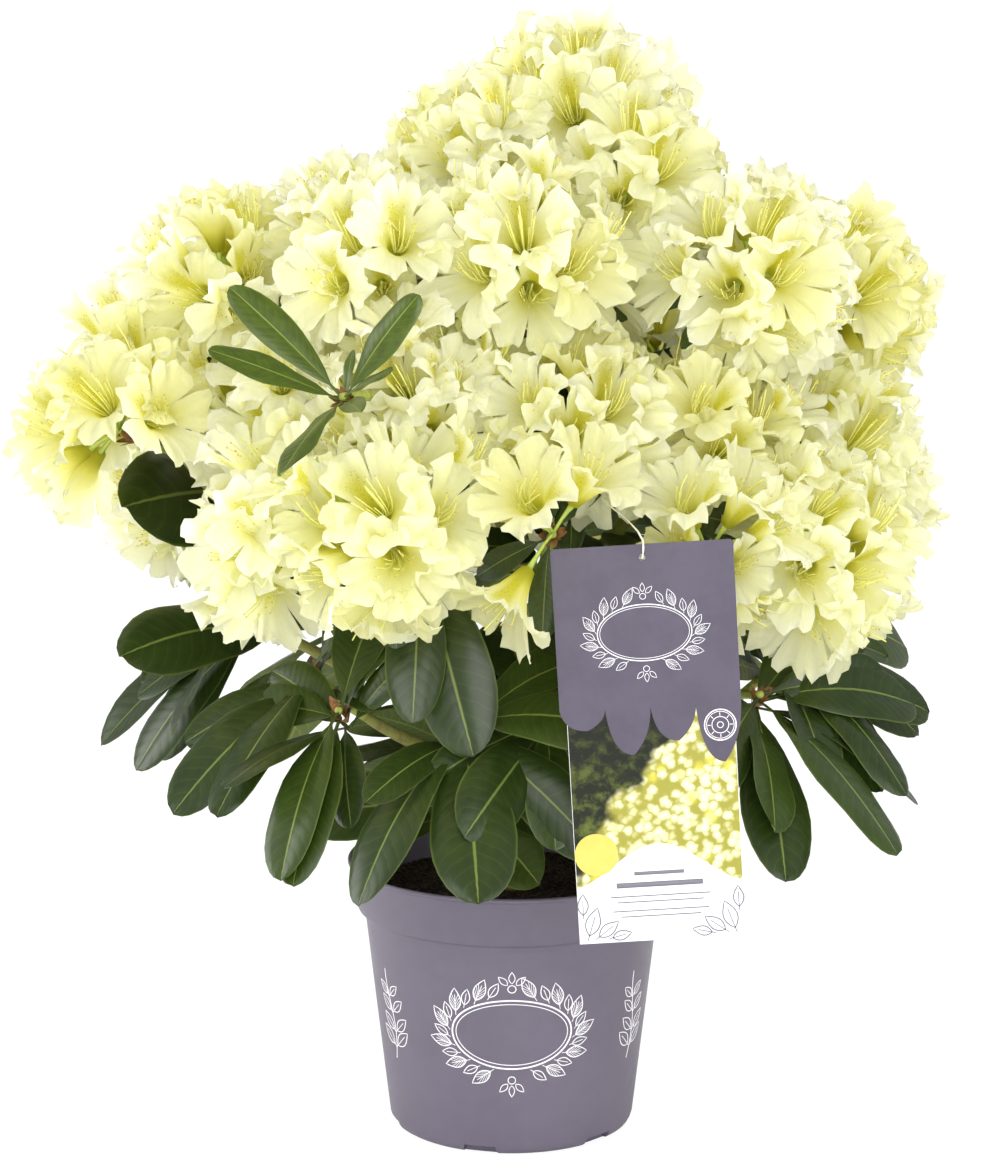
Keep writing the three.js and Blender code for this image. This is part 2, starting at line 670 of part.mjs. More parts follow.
function place(name, solid, finish) {
  const mesh = new THREE.Mesh(geometryFrom(solid), finish);
  mesh.name = name;
  plant.add(mesh);
}

place('pot', potSolid(), finishes.pot);
place('soil', soilSolid(), finishes.soil);
const wholeTrunk = solidFrom(limbGeometry(trunkCurve, trunkRadius, trunk.sides, 8));
place('trunk', wholeTrunk.trimByPlane([0, 0, 1], soil.level + SEAT_GAP), finishes.bark);

// A bough is cut clear of every limb that was set before it, so that it seats on its parent.
BOUGHS.forEach((row, index) => {
  const whole = solidFrom(limbGeometry(limbs[row.name].curve, boughRadius, bough.sides, bough.steps));
  const seated = grownLimbs.slice(0, index + 1).reduce((left, limb) => left.subtract(limb), whole);
  place(`bough_${row.name}`, outermost(seated), finishes.bark);
});

masses.forEach((own, index) => {
  const { row } = own;
  const kind = row.flowering ? 'blossom' : 'foliage';
  const whole = massSolid(own, index);
  place(`${kind}_${row.name}`, outermost(whole.subtract(grownLimbs[0])), finishes[kind]);
});

place('tag', tagSolid(), finishes.tag);
place('tag_cord', cordSolid(), finishes.cord);

export default plant;
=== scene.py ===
# %% [markdown]
# # A flowering rhododendron in its nursery pot
# The plant is a young shrub: a short trunk forks into boughs, and the boughs end in shoots. A
# flowering shoot carries a truss, a dome of pale yellow funnel flowers, and a leafy shoot carries a
# whorl of leathery leaves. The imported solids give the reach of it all. This script grows the same
# plant again with the same rule, but with petals, stamens, veins, bark and print.
# All sizes are in millimetres, and a mesh is scaled to metres when it is made.

# %% Load the frame
import math

import bpy
import numpy as np
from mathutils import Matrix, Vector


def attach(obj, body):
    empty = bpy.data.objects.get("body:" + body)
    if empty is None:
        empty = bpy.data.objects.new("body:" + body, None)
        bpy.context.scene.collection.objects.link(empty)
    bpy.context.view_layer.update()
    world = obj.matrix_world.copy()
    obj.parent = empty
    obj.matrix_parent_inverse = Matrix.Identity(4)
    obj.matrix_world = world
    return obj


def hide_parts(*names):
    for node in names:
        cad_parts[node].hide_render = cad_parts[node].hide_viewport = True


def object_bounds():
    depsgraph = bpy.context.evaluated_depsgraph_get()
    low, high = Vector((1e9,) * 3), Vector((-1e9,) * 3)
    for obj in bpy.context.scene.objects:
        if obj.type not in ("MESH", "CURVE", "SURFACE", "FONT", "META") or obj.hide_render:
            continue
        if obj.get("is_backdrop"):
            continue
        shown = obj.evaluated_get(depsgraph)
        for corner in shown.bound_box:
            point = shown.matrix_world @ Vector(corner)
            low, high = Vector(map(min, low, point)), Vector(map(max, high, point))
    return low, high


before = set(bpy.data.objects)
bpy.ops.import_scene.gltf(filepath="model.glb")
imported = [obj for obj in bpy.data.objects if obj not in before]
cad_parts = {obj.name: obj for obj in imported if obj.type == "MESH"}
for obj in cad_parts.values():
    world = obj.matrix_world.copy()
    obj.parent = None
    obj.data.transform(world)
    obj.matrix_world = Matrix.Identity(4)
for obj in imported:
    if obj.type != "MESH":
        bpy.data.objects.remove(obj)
cad_low, cad_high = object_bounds()
MM = 0.001
UP = np.array([0.0, 0.0, 1.0])
print("nodes in the frame:", len(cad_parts))

# %% [markdown]
# ## The camera
# The camera stands two metres back and has a long lens, so that the near trusses don't look bigger
# than the far ones. It looks down a little, which shows the soil inside the rim.
# It is made first, because everything after it is judged through it.

# %% Make the camera
CAMERA_PLACE = (-7.7, -2100.0, 743.0)
CAMERA_PITCH = 10.146  # degrees below level
CAMERA_LENS = 99.34


def new_object(name, data):
    """Puts a camera, a light, a curve or a mesh into the scene."""
    made = bpy.data.objects.new(name, data)
    bpy.context.scene.collection.objects.link(made)
    return made


camera_data = bpy.data.cameras.new("long_lens")
camera_data.lens = CAMERA_LENS
camera_data.clip_end = 50
camera = new_object("camera", camera_data)
camera.location = [value * MM for value in CAMERA_PLACE]
camera.rotation_euler = (math.radians(90 - CAMERA_PITCH), 0, 0)
bpy.context.scene.camera = camera
print("camera at", tuple(round(value, 3) for value in camera.location))

# %% [markdown]
# ## Vectors, and one seeded source of chance
# Plants are grown here with plain vector sums. Three small helpers give a direction at an angle to
# another one, and every random number comes from a generator with a fixed seed, so the plant is the
# same at every run.

# %% Small tools
def unit(vector):
    """The same direction with length one."""
    return vector / np.linalg.norm(vector)


def across_axis(axis):
    """Two directions at right angles to an axis, the first of them level."""
    level = np.cross(UP, axis)
    if level @ level < 1e-4:
        level = np.array([1.0, 0.0, 0.0])
    level = unit(level)
    return level, unit(np.cross(axis, level))


def tilted(axis, angle, turn):
    """A direction at an angle to an axis, at a turn round it, both in degrees."""
    level, other = across_axis(axis)
    angle, turn = math.radians(angle), math.radians(turn)
    ring = math.cos(turn) * level + math.sin(turn) * other
    return unit(math.cos(angle) * axis + math.sin(angle) * ring)


def smooth_step(low, high, value):
    """0 below low, 1 above high, and a soft rise between them."""
    share = np.clip((value - low) / (high - low), 0, 1)
    return share * share * (3 - 2 * share)


chance = np.random.default_rng(20)

# %% [markdown]
# ## Joining thousands of small shapes
# A truss of flowers could be made of linked copies, but copies are dropped when a model is exported.
# So each kind of piece is gathered in a sheaf: the points of every petal or leaf go into one long
# list, and one mesh is made of it at the end, which is quick. The map named OFBake lays all petals on
# top of each other, and all leaves likewise, so one pattern serves every one of them.

# %% Finish a piece
def finish_piece(piece, material, nodes=()):
    """Gives a piece its material, puts it on the root body and hides the CAD nodes that it stands for."""
    mesh = piece.data
    mesh.materials.clear()
    mesh.materials.append(material)
    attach(piece, "root")
    if nodes:
        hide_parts(*nodes)
    print(f"{piece.name}: {len(mesh.loops) - 2 * len(mesh.polygons)} triangles")

# %% Sheaves
class Sheaf:
    """Points, faces and map places of many small shapes, to be made into one mesh."""

    def __init__(self, name):
        self.name = name
        self.points, self.faces, self.maps = [], [], []
        self.count = 0

    def add(self, points, faces, places):
        """faces holds corner numbers into points, and places a map place for each corner."""
        self.points.append(points)
        self.faces.append(faces + self.count)
        self.maps.append(places)
        self.count += len(points)

    def add_grid(self, points, rows, columns, closed=False):
        """A grid of points, laid row by row, with a map spread evenly over it."""
        faces = grid_faces(rows, columns, closed)
        self.add(points.reshape(-1, 3), faces, grid_places(rows, columns, closed))

    def make(self, material, slot, nodes=(), stacked=False):
        """One smooth mesh that rides on the plant and stands for the CAD nodes named. A stacked piece
        keeps its map, because its pattern is drawn on the map and not on the place in the air."""
        mesh = bpy.data.meshes.new(self.name)
        corners = np.concatenate([faces.ravel() for faces in self.faces])
        sizes = np.concatenate([np.full(len(faces), faces.shape[1]) for faces in self.faces])
        places = np.concatenate([places.reshape(-1, 2) for places in self.maps])
        mesh.vertices.add(self.count)
        mesh.vertices.foreach_set("co", (np.concatenate(self.points) * MM).astype(np.float32).ravel())
        mesh.loops.add(len(corners))
        mesh.loops.foreach_set("vertex_index", corners.astype(np.int32))
        mesh.polygons.add(len(sizes))
        mesh.polygons.foreach_set("loop_start", (np.cumsum(sizes) - sizes).astype(np.int32))
        if stacked:
            layer = mesh.uv_layers.new(name="OFBake")
            layer.data.foreach_set("uv", places.astype(np.float32).ravel())
        mesh.update(calc_edges=True)
        mesh.shade_smooth()
        finish_piece(new_object(self.name, mesh), material, nodes)

# %% Grids of points
def first_corners(rows, columns, closed):
    """The row and the column of the first corner of every face of a grid."""
    steps = columns if closed else columns - 1
    row, column = np.meshgrid(np.arange(rows - 1), np.arange(steps), indexing="ij")
    return row.ravel(), column.ravel()


def grid_faces(rows, columns, closed=False):
    """The four-cornered faces of a grid of points laid row by row."""
    row, column = first_corners(rows, columns, closed)
    after = (column + 1) % columns
    corners = [row * columns + column, row * columns + after]
    return np.stack([corners[0], corners[1], corners[1] + columns, corners[0] + columns], axis=1)


def grid_places(rows, columns, closed=False):
    """Map places for grid_faces, spread evenly over the map."""
    row, column = first_corners(rows, columns, closed)
    steps = columns if closed else columns - 1
    corners = [(column, row), (column + 1, row), (column + 1, row + 1), (column, row + 1)]
    return np.stack([np.stack([c / steps, r / (rows - 1)], axis=1) for c, r in corners], axis=1)

# %% Tubes
def full_turn(steps):
    """Angles in radians, spread evenly over a full turn."""
    return 2 * np.pi * np.arange(steps) / steps


def tube(points, radii, sides):
    """The corners of a tube along points, ring by ring, open at both ends."""
    tangents = np.gradient(points, axis=0)
    tangents /= np.linalg.norm(tangents, axis=1)[:, None]
    side = across_axis(tangents[0])[0]
    rings = []
    turns = full_turn(sides)[:, None]
    for point, tangent, radius in zip(points, tangents, np.broadcast_to(radii, len(points))):
        side = unit(side - (side @ tangent) * tangent)
        other = np.cross(tangent, side)
        rings.append(point + radius * (np.cos(turns) * side + np.sin(turns) * other))
    return np.concatenate(rings)


CAP_TIP = 0.02  # the tip of a cap as a share of the tube's radius
CAP_BULGE = 0.3


def add_tube(sheaf, points, radii, sides, capped=True):
    """Puts a tube into a sheaf, with a blunt cap at each end where they may be seen."""
    points = np.asarray(points, float)
    radii = np.broadcast_to(radii, len(points)).astype(float)
    if capped:
        points = np.concatenate([points[:1], points, points[-1:]])
        radii = np.concatenate([[radii[0] * CAP_TIP], radii, [radii[-1] * CAP_TIP]])
        points[0] -= unit(points[2] - points[1]) * radii[1] * CAP_BULGE
        points[-1] += unit(points[-2] - points[-3]) * radii[-2] * CAP_BULGE
    sheaf.add_grid(tube(points, radii, sides), len(points), sides, True)

# %% [markdown]
# ## The limbs, from the same table as the solids
# Each row names a bough: the limb it leaves and how far along that is, and the place of its tip as a
# bearing, a reach from the pot's axis and a height. The rest is worked out. A bough is a curve that
# swings out and then turns up, as a shoot does that looks for light.

# %% The bough table
SOIL_LEVEL = 163.0
TRUNK = {"height": 118.0, "lean": (-14.0, -6.0), "flare_height": 22.0}
TRUNK_RADII = {"flare": 17.0, "foot": 10.0, "tip": 7.5}
BOUGH_RADII = (5.6, 3.4)  # at the foot and at the tip
BOUGHS = [
    # name, parent, at, bearing, reach, height, kind, shoots, fork, spin, then what is special:
    # at is a share of the parent's length, and fork is the angle from the bough to its shoots
    ("crown_top", "trunk", 1.0, 15, 38, 586, "blossom", 4, 66, 75, {"leader": True}),
    ("left", "trunk", 0.86, -177, 208, 445, "blossom", 2, 59, 166, {}),
    ("right", "trunk", 0.8, 3, 150, 402, "blossom", 3, 46, 186, {}),
    ("front_left", "trunk", 0.92, -113, 145, 412, "blossom", 2, 46, 98, {}),
    ("back_left", "trunk", 0.72, 144, 178, 394, "blossom", 3, 52, 82, {}),
    ("back_right", "trunk", 0.64, 48, 191, 425, "blossom", 3, 53, 169, {}),
    ("front_right", "trunk", 0.97, -81, 136, 410, "blossom", 2, 46, 69, {}),
    ("right_high", "crown_top", 0.2, -13, 161, 529, "blossom", 2, 66, 157, {}),
    ("front_high", "crown_top", 0.3, -110, 79, 521, "blossom", 2, 46, 6, {}),
    ("back_high", "crown_top", 0.4, 91, 107, 528, "blossom", 2, 49, 13, {}),
    ("upper_left", "left", 0.4, 178, 133, 508, "blossom", 2, 46, 132, {}),
    ("left_front", "left", 0.5, -152, 156, 408, "blossom", 2, 46, 101, {}),
    ("right_front", "right", 0.3, -41, 157, 386, "blossom", 3, 46, 324, {}),
    ("back", "back_right", 0.45, 95, 175, 459, "blossom", 2, 54, 351, {}),
    ("back_low", "back_right", 0.3, 86, 170, 368, "blossom", 2, 57, 357, {}),
    ("low_left", "trunk", 0.66, -144, 117, 293, "foliage", 2, 50, 337, {"face": -125}),
    ("low_front", "trunk", 0.5, -92, 116, 285, "foliage", 2, 50, 187, {}),
    ("low_right", "trunk", 0.55, -30, 158, 303, "foliage", 2, 50, 196, {"face": -55}),
    ("side_right", "back_right", 0.25, 17, 163, 321, "foliage", 2, 69, 173, {"face": -30}),
    ("low_back_right", "back_right", 0.35, 61, 145, 305, "foliage", 2, 64, 178, {}),
    ("low_back_left", "back_left", 0.4, 122, 142, 307, "foliage", 2, 65, 183, {}),
    ("side_left", "back_left", 0.3, 165, 159, 325, "foliage", 2, 69, 186, {"face": -150}),
    ("sprig", "front_high", 0.92, -115, 205, 515, "foliage", 1, 0, 0, {"young": True}),
]
FOOT_SHOOTS = [
    # name, at, bearing, reach, height
    ("foot_front", 0.4, -126, 59, 231),
    ("foot_back", 0.42, 107, 69, 245),
    ("foot_right", 0.35, 7, 66, 240),
]

# %% Curves
class Curve:
    """A line through many points, asked by the share of its length."""

    def __init__(self, start, bend, end, steps=48):
        share = np.linspace(0, 1, steps)[:, None]
        self.points = (1 - share) ** 2 * start + 2 * share * (1 - share) * bend + share**2 * end
        lengths = np.linalg.norm(np.diff(self.points, axis=0), axis=1)
        self.along = np.concatenate([[0], np.cumsum(lengths)])

    def at(self, share):
        where = np.asarray(share) * self.along[-1]
        return np.stack([np.interp(where, self.along, self.points[:, k]) for k in range(3)], axis=-1)

    def tip_direction(self):
        return unit(self.points[-1] - self.points[-2])


BEND = (0.55, 0.55, 0.36)  # the bend lies further out than up


def bough_curve(parent, at, bearing, reach, height):
    """The line of a bough from its place on the parent to its tip."""
    start = parent.at(min(at, 0.98))
    turn = math.radians(bearing)
    tip = np.array([reach * math.cos(turn), reach * math.sin(turn), height])
    return Curve(start, start + (tip - start) * BEND, tip)


lean = np.array([*TRUNK["lean"], 0.0])
trunk_foot = np.array([0.0, 0.0, SOIL_LEVEL - 2])
trunk_top = lean + UP * (SOIL_LEVEL + TRUNK["height"])
trunk_middle = 0.2 * lean + UP * (SOIL_LEVEL + 0.4 * TRUNK["height"])
curves = {"trunk": Curve(trunk_foot, 2 * trunk_middle - 0.5 * (trunk_foot + trunk_top), trunk_top)}
for name, parent, at, bearing, reach, height, *_ in BOUGHS:
    curves[name] = bough_curve(curves[parent], at, bearing, reach, height)
print("limbs:", len(curves), "- longest", round(max(c.along[-1] for c in curves.values())), "mm")

# %% [markdown]
# ## Shoots and heads
# At the end of a bough the wood forks into a few shoots. The end of a shoot is a head: the place that
# a truss or a whorl of leaves is set round. A truss looks away from the heart of the crown, and a
# whorl of leaves leans up and out.

# %% Find every head
STEM_LENGTH = 16.0
FLOWERING_SHOOT = 66.0
LEAFY_SHOOT = 34.0
LONELY_SHOOT = 14.0
HEART = UP * 370.0
WHORL_RISE = 50.0  # degrees above level


def whorl_heading(end, face=None):
    """Out and up from the pot's axis, or towards a bearing in degrees."""
    bearing = math.atan2(end[1], end[0]) if face is None else math.radians(face)
    level = math.cos(math.radians(WHORL_RISE))
    rise = math.sin(math.radians(WHORL_RISE))
    return np.array([level * math.cos(bearing), level * math.sin(bearing), rise])


heads, shoots, stems = [], [], []
for name, _, _, _, _, _, kind, count, fork, spin, special in BOUGHS:
    axis = curves[name].tip_direction()
    start = curves[name].points[-1]
    meeting = start + axis * STEM_LENGTH
    stems.append(Curve(start, (start + meeting) / 2, meeting + 3 * axis))
    leader = special.get("leader", False)
    young = special.get("young", False)
    length = FLOWERING_SHOOT if kind == "blossom" else LEAFY_SHOOT
    for k in range(count):
        straight = count == 1 or (leader and k == 0)
        away = tilted(axis, 0 if straight else fork, spin + 360 * k / (count - 1 if leader else count))
        end = meeting + away * (length if count > 1 else LONELY_SHOOT)
        bend = 0.5 * (meeting + end) - 0.06 * length * axis
        shoots.append(Curve(meeting - 2 * axis, bend, end, 12))
        outward = kind == "blossom" or young
        heading = unit(end - HEART) if outward else whorl_heading(end, special.get("face"))
        heads.append({"mass": name, "kind": kind, "end": end, "heading": heading, "young": young})
for name, at, bearing, reach, height in FOOT_SHOOTS:
    stem = bough_curve(curves["trunk"], at, bearing, reach, height)
    end = stem.points[-1]
    stems.append(stem)
    heads.append({"mass": name, "kind": "foliage", "end": end, "heading": whorl_heading(end), "young": False})
trusses = [head for head in heads if head["kind"] == "blossom"]
whorls = [head for head in heads if head["kind"] == "foliage"]
print("trusses:", len(trusses), "- leafy heads:", len(whorls))

# %% [markdown]
# ## Keeping clear
# A leaf or a flower grows only where there is room. The space that is nearer to one head than to any
# head of another bough belongs to that head. The pot and its rim, the room in front of the hang tag,
# the limbs and one open place at the left are kept free. The tests work on a handful of points of
# each leaf, which is quick and close enough.

# %% The room that is kept free
HEAD_ENDS = np.array([head["end"] for head in heads])
YOUNG_SHARE = 0.35  # a young shoot holds less of the space between two heads
TAG = {"width": 108.0, "height": 242.0, "x": 83.0, "y": -227.0, "top": 432.0, "turn": 3.5, "room": 70.0}
POT_ROOM = {"height": 184.0, "outside": 112.0, "inside": 92.0, "over_soil": 3.0}
RIM_ROOM = {"height": 196.0, "reach": 84.0}
LEFT_OPEN = np.array([(-250, -190, 406), (-196, 30, 456)])  # two corners of a box
tag_turn = math.radians(TAG["turn"])
tag_right = np.array([math.cos(tag_turn), 0.0, math.sin(tag_turn)])
tag_up = np.array([-math.sin(tag_turn), 0.0, math.cos(tag_turn)])
tag_middle = np.array([TAG["x"], TAG["y"], TAG["top"] - TAG["height"] / 2])
limb_cloud = np.concatenate([curve.at(np.linspace(0.05, 1, 40)) for curve in curves.values()])

# %% Is there room?
def on_tag(points):
    """Points measured from the middle of the tag: across it, up it and behind it."""
    offset = points - tag_middle
    return offset @ tag_right, offset @ tag_up, offset[..., 1]


def near_tag(points, margin=3.0):
    """True where a point is in the room that is kept free before the tag."""
    across, height, behind = on_tag(points)
    beside = np.abs(across) < TAG["width"] / 2 + margin
    level = np.abs(height) < TAG["height"] / 2 + margin
    return bool((beside & level & (behind < 5) & (behind > -TAG["room"])).any())


def in_pot(points):
    """True where a point is in the pot's wall or in the soil."""
    reach = np.hypot(points[:, 0], points[:, 1])
    low = (points[:, 2] < POT_ROOM["height"]) & (reach < POT_ROOM["outside"])
    wall = reach > POT_ROOM["inside"]
    return bool((low & (wall | (points[:, 2] < SOIL_LEVEL + POT_ROOM["over_soil"]))).any())


def over_rim(points):
    """True where a leaf would hang down outside the pot and hide its rim."""
    reach = np.hypot(points[:, 0], points[:, 1])
    return bool(((points[:, 2] < RIM_ROOM["height"]) & (reach > RIM_ROOM["reach"])).any())


def in_left_open(points):
    """True at a place under the left of the crown where only one leaf shows."""
    return bool(((points > LEFT_OPEN[0]) & (points < LEFT_OPEN[1])).all(axis=1).any())


def in_own_space(points, head, margin=0.0):
    """True where the points are nearer to this head than to any head of another bough."""
    for other in heads:
        if other["mass"] == head["mass"]:
            continue
        between = other["end"] - head["end"]
        distance = np.linalg.norm(between)
        share = 0.5
        if other["young"] != head["young"]:
            share = YOUNG_SHARE if head["young"] else 1 - YOUNG_SHARE
        if ((points - head["end"]) @ (between / distance)).max() > share * distance - margin:
            return False
    return True


def nearest(points, cloud):
    """The shortest distance from any of the points to any of a cloud."""
    return np.linalg.norm(points[:, None] - cloud[None], axis=2).min()


def clear_of_limbs(points, distance=6.0):
    """True where no bough comes close."""
    return bool(nearest(points, limb_cloud) > distance)

# %% [markdown]
# ## A leaf
# A rhododendron leaf is a long leathery ellipse on a short stalk. It folds a little along its midrib,
# its edges roll down, and its own weight bends the tip. A curved card would look like paper, so the
# blade has an upper and a lower skin a third of a millimetre apart. The rows of points run from the
# stalk to the tip. The upper skin takes the left half of the map and the lower skin the right half.

# %% The shape of a leaf
LEAF_LENGTH = 118.0
LEAF_WIDTH_SHARE = 0.37
LEAF_DROOP = 0.16
LEAF_STALK_SHARE = 0.1
LEAF_ROWS = np.array([
    0, 0.05, 0.1, 0.14, 0.2, 0.28, 0.37, 0.47, 0.57, 0.67, 0.76, 0.84, 0.91, 0.96, 0.985, 1.0,
])
LEAF_SIDES = np.array([-1, -0.62, -0.12, 0.12, 0.62, 1])
LEAF_SKIN = 0.35
MIDRIB = 1.3  # how far it stands out below
GOLDEN_ANGLE = 137.508


def leaf_outline(share):
    """Half the width as a share of the greatest: a thin stalk, then the blade."""
    blade = np.clip((share - LEAF_STALK_SHARE) / (1 - LEAF_STALK_SHARE), 0, 1)
    return np.maximum(1.82 * blade**0.7 * (1 - blade**2) ** 0.55, 0.07 * (1 - share) + 0.012)


def leaf_surface(leaf, share, side):
    """A point of the upper skin: share runs from the stalk to the tip, side from edge to edge."""
    length = leaf["length"]
    half_width = 0.5 * LEAF_WIDTH_SHARE * leaf["width"] * length * leaf_outline(share)
    normal = np.cross(leaf["across"], leaf["away"])
    fold = leaf["fold"] * np.abs(side) - leaf["roll"] * side**4
    wave = leaf["wave"] * np.abs(side) ** 2 * np.sin(leaf["phase"] + 13 * share + 1.5 * side)
    blade = smooth_step(0.1, 0.3, share)
    height = half_width * fold + length * (0.012 * wave * blade + leaf["arch"] * np.sin(np.pi * share))
    swing = leaf["swing"] * length * share**2
    point = leaf["foot"] + (length * share)[..., None] * leaf["away"]
    point = point + (side * half_width + swing)[..., None] * leaf["across"]
    return point + height[..., None] * normal - (leaf["droop"] * length * share**2)[..., None] * UP


def leaf_points(leaf, shares, sides):
    """A few points of a leaf, row by row."""
    share, side = np.meshgrid(shares, sides, indexing="ij")
    return leaf_surface(leaf, share.ravel(), side.ravel())

# %% The two skins of a leaf
def add_leaf(sheaf, leaf):
    """Both skins of a leaf, each with its own half of the map."""
    share, side = np.meshgrid(LEAF_ROWS, LEAF_SIDES, indexing="ij")
    top = leaf_surface(leaf, share, side)
    under = np.cross(leaf["away"], leaf["across"])
    rib = MIDRIB * np.exp(-((side / 0.2) ** 2)) * (1 - 0.7 * share)
    skin = (LEAF_SKIN + rib) * (np.abs(side) < 1)
    bottom = top + skin[..., None] * under
    rows, columns = share.shape
    faces = grid_faces(rows, columns)
    corner_share = share.ravel()[faces]
    corner_side = 0.5 + 0.5 * side.ravel()[faces]
    upper = np.stack([0.5 * corner_side, corner_share], axis=-1)
    lower = np.stack([0.5 + 0.5 * corner_side, corner_share], axis=-1)
    sheaf.add(top.reshape(-1, 3), faces, upper)
    turned_over = [0, 3, 2, 1]  # keeps the same diagonal, so that the skins never cross
    sheaf.add(bottom.reshape(-1, 3), faces[:, turned_over], lower[:, turned_over])

# %% [markdown]
# ## Whorls of leaves
# Leaves stand round the end of a shoot at the golden angle, 137.5 degrees from one to the next, so
# that none of them shades the one below. The draws below repeat those of the solids, so each leaf
# hangs where its solid does, and a few more leaves fill what is left open. A leaf that has no room
# is tried again, turned aside or shortened. Four leaves that stand out alone are placed first, each
# from its bough to a tip that is listed.

# %% The chance of the solids
MODULUS, FACTOR = 2147483647, 48271  # of a Lehmer generator


def seeded_draws(seed):
    """The same stream of chance as the solids have."""
    state = (seed * 7919 + 12345) % MODULUS

    def draw(low, high):
        """The next number between two."""
        nonlocal state
        state = (state * FACTOR) % MODULUS
        return low + (high - low) * state / MODULUS

    return draw

# %% Kinds of whorl
WHORLS = {
    "under_truss": {"drop": 8, "count": 2, "more": 3, "pitch": 112, "size": 0.78, "spread": 6},
    "old": {"drop": 0, "count": 7, "more": 3, "pitch": 84, "size": 0.98, "spread": 16},
    "young": {"drop": 0, "count": 6, "more": 1, "pitch": 62, "size": 0.8, "spread": 6},
    "below_fork": {"drop": 4, "count": 5, "more": 0, "pitch": 118, "size": 1.05, "spread": 18},
}
LEAF_CHANCE = {
    "fold": (0.1, 0.34), "roll": (0.1, 0.4), "wave": (0.3, 1.3), "phase": (0, 6.3),
    "arch": (0.0, 0.07), "swing": (-0.05, 0.05),
}
OLD_WIDTH, YOUNG_WIDTH = (0.96, 1.24), (0.6, 0.76)
LEAF_TRIES = [  # degrees aside, and the share of the full length
    (0, 1), (0, 0.85), (68, 1), (-68, 1), (0, 0.7), (34, 0.85), (-34, 0.85), (34, 0.65), (-34, 0.65),
]
LEAF_GAP = 4.5
EXTRA_LEAF = {"rise": 16, "length": 0.8, "young_length": 0.42}
leaf_spines = []

# %% Room for a leaf
def leaf_spine(leaf):
    """The points that stand for a leaf when the next one looks for room."""
    return leaf_points(leaf, [0.4, 0.55, 0.7, 0.85, 0.97], [-0.5, 0.5])


def has_room(leaf, head):
    """True where a leaf keeps to its head's space and crosses nothing."""
    points = leaf_points(leaf, [0.3, 0.5, 0.7, 0.85, 1.0], [-1.0, 0.0, 1.0])
    if near_tag(points) or in_pot(points) or over_rim(points) or in_left_open(points):
        return False
    if not in_own_space(points, head, -2.0) or not clear_of_limbs(points[3:]):
        return False
    return not leaf_spines or nearest(leaf_spine(leaf), np.concatenate(leaf_spines)) >= LEAF_GAP

# %% Grow one whorl
def grow_whorl(head, kind, draw):
    """The leaves round one head, each tried at other places before it is left out."""
    whorl = WHORLS[kind]
    axis = unit(head["heading"] + 0.4 * UP) if head["young"] else head["heading"]
    centre = head["end"] - whorl["drop"] * axis
    grown = []
    for i in range(whorl["count"] + whorl["more"]):
        turn = i * GOLDEN_ANGLE + draw(-14, 14)
        pitch = whorl["pitch"] + draw(-12, 12)
        full_length = LEAF_LENGTH * whorl["size"] * draw(0.86, 1.1)
        twist = math.radians(draw(-25, 25))
        extra = i >= whorl["count"]
        for aside, shortened in LEAF_TRIES:
            raised = EXTRA_LEAF["rise"] if extra and kind == "old" else 0
            away = tilted(axis, pitch - raised, turn + aside)
            across = unit(np.cross(away, axis))
            across = math.cos(twist) * across + math.sin(twist) * np.cross(away, across)
            length = full_length * shortened * (EXTRA_LEAF["length"] if extra else 1)
            if head["young"] and extra:
                length *= EXTRA_LEAF["young_length"]
            elif head["young"]:
                length *= 1 - 0.45 * smooth_step(-0.2, 0.5, away[0] - 0.55 * away[2])
            leaf = {
                "foot": centre - whorl["spread"] * i / whorl["count"] * axis + 2 * away,
                "away": away,
                "across": across,
                "length": length,
                "droop": 0.0 if head["young"] else LEAF_DROOP,
                "width": chance.uniform(*(YOUNG_WIDTH if head["young"] else OLD_WIDTH)),
            }
            leaf |= {trait: chance.uniform(*limits) for trait, limits in LEAF_CHANCE.items()}
            if has_room(leaf, head):
                grown.append(leaf)
                leaf_spines.append(leaf_spine(leaf))
                break
    return grown

# %% Deal out the greens
mass_names = [row[0] for row in BOUGHS] + [row[0] for row in FOOT_SHOOTS]
leaf_sheaves = {name: Sheaf(f"leaves_{name}") for name in ("dark", "mid", "young")}
DARK_SHARE = 0.6


def old_tint():
    """One of the two greens of old leaves."""
    return "dark" if chance.random() < DARK_SHARE else "mid"


def grow_leaves(head, kind, draw):
    """Grows a whorl and deals a green to each leaf of it."""
    for leaf in grow_whorl(head, kind, draw):
        add_leaf(leaf_sheaves["young" if head["young"] else old_tint()], leaf)

# %% Leaves that stand out by themselves
SHOWN_LEAVES = [
    # bough, tip, width and the side that faces out
    ("back_left", (-250, -50, 428), 1.15, (-0.2, -0.8, 0.55)),
    ("front_left", (-61, -186, 312), 1.05, (0.1, -0.95, 0.3)),
    ("front_left", (-24, -180, 289), 1.2, (-0.2, -0.95, 0.2)),
    ("side_left", (-253, -60, 331), 1.1, (-0.2, -0.75, 0.65)),
]


def place_leaf(foot, tip, width, facing):
    """A leaf from a foot to a tip, with its upper side turned to a direction."""
    reach = tip - foot + LEAF_DROOP * np.linalg.norm(tip - foot) * UP
    away = unit(reach)
    leaf = {"foot": foot, "away": away, "across": unit(np.cross(away, facing))}
    leaf |= {"length": float(np.linalg.norm(reach)), "width": width, "droop": LEAF_DROOP}
    leaf |= {"fold": 0.2, "roll": 0.3, "wave": 0.9, "phase": 2.0, "arch": 0.05, "swing": 0.0}
    add_leaf(leaf_sheaves["dark"], leaf)
    leaf_spines.append(leaf_spine(leaf))


for name, tip, width, facing in SHOWN_LEAVES:
    place_leaf(curves[name].points[-1], np.array(tip, float), width, np.array(facing, float))
print("leaves by hand:", len(leaf_spines))

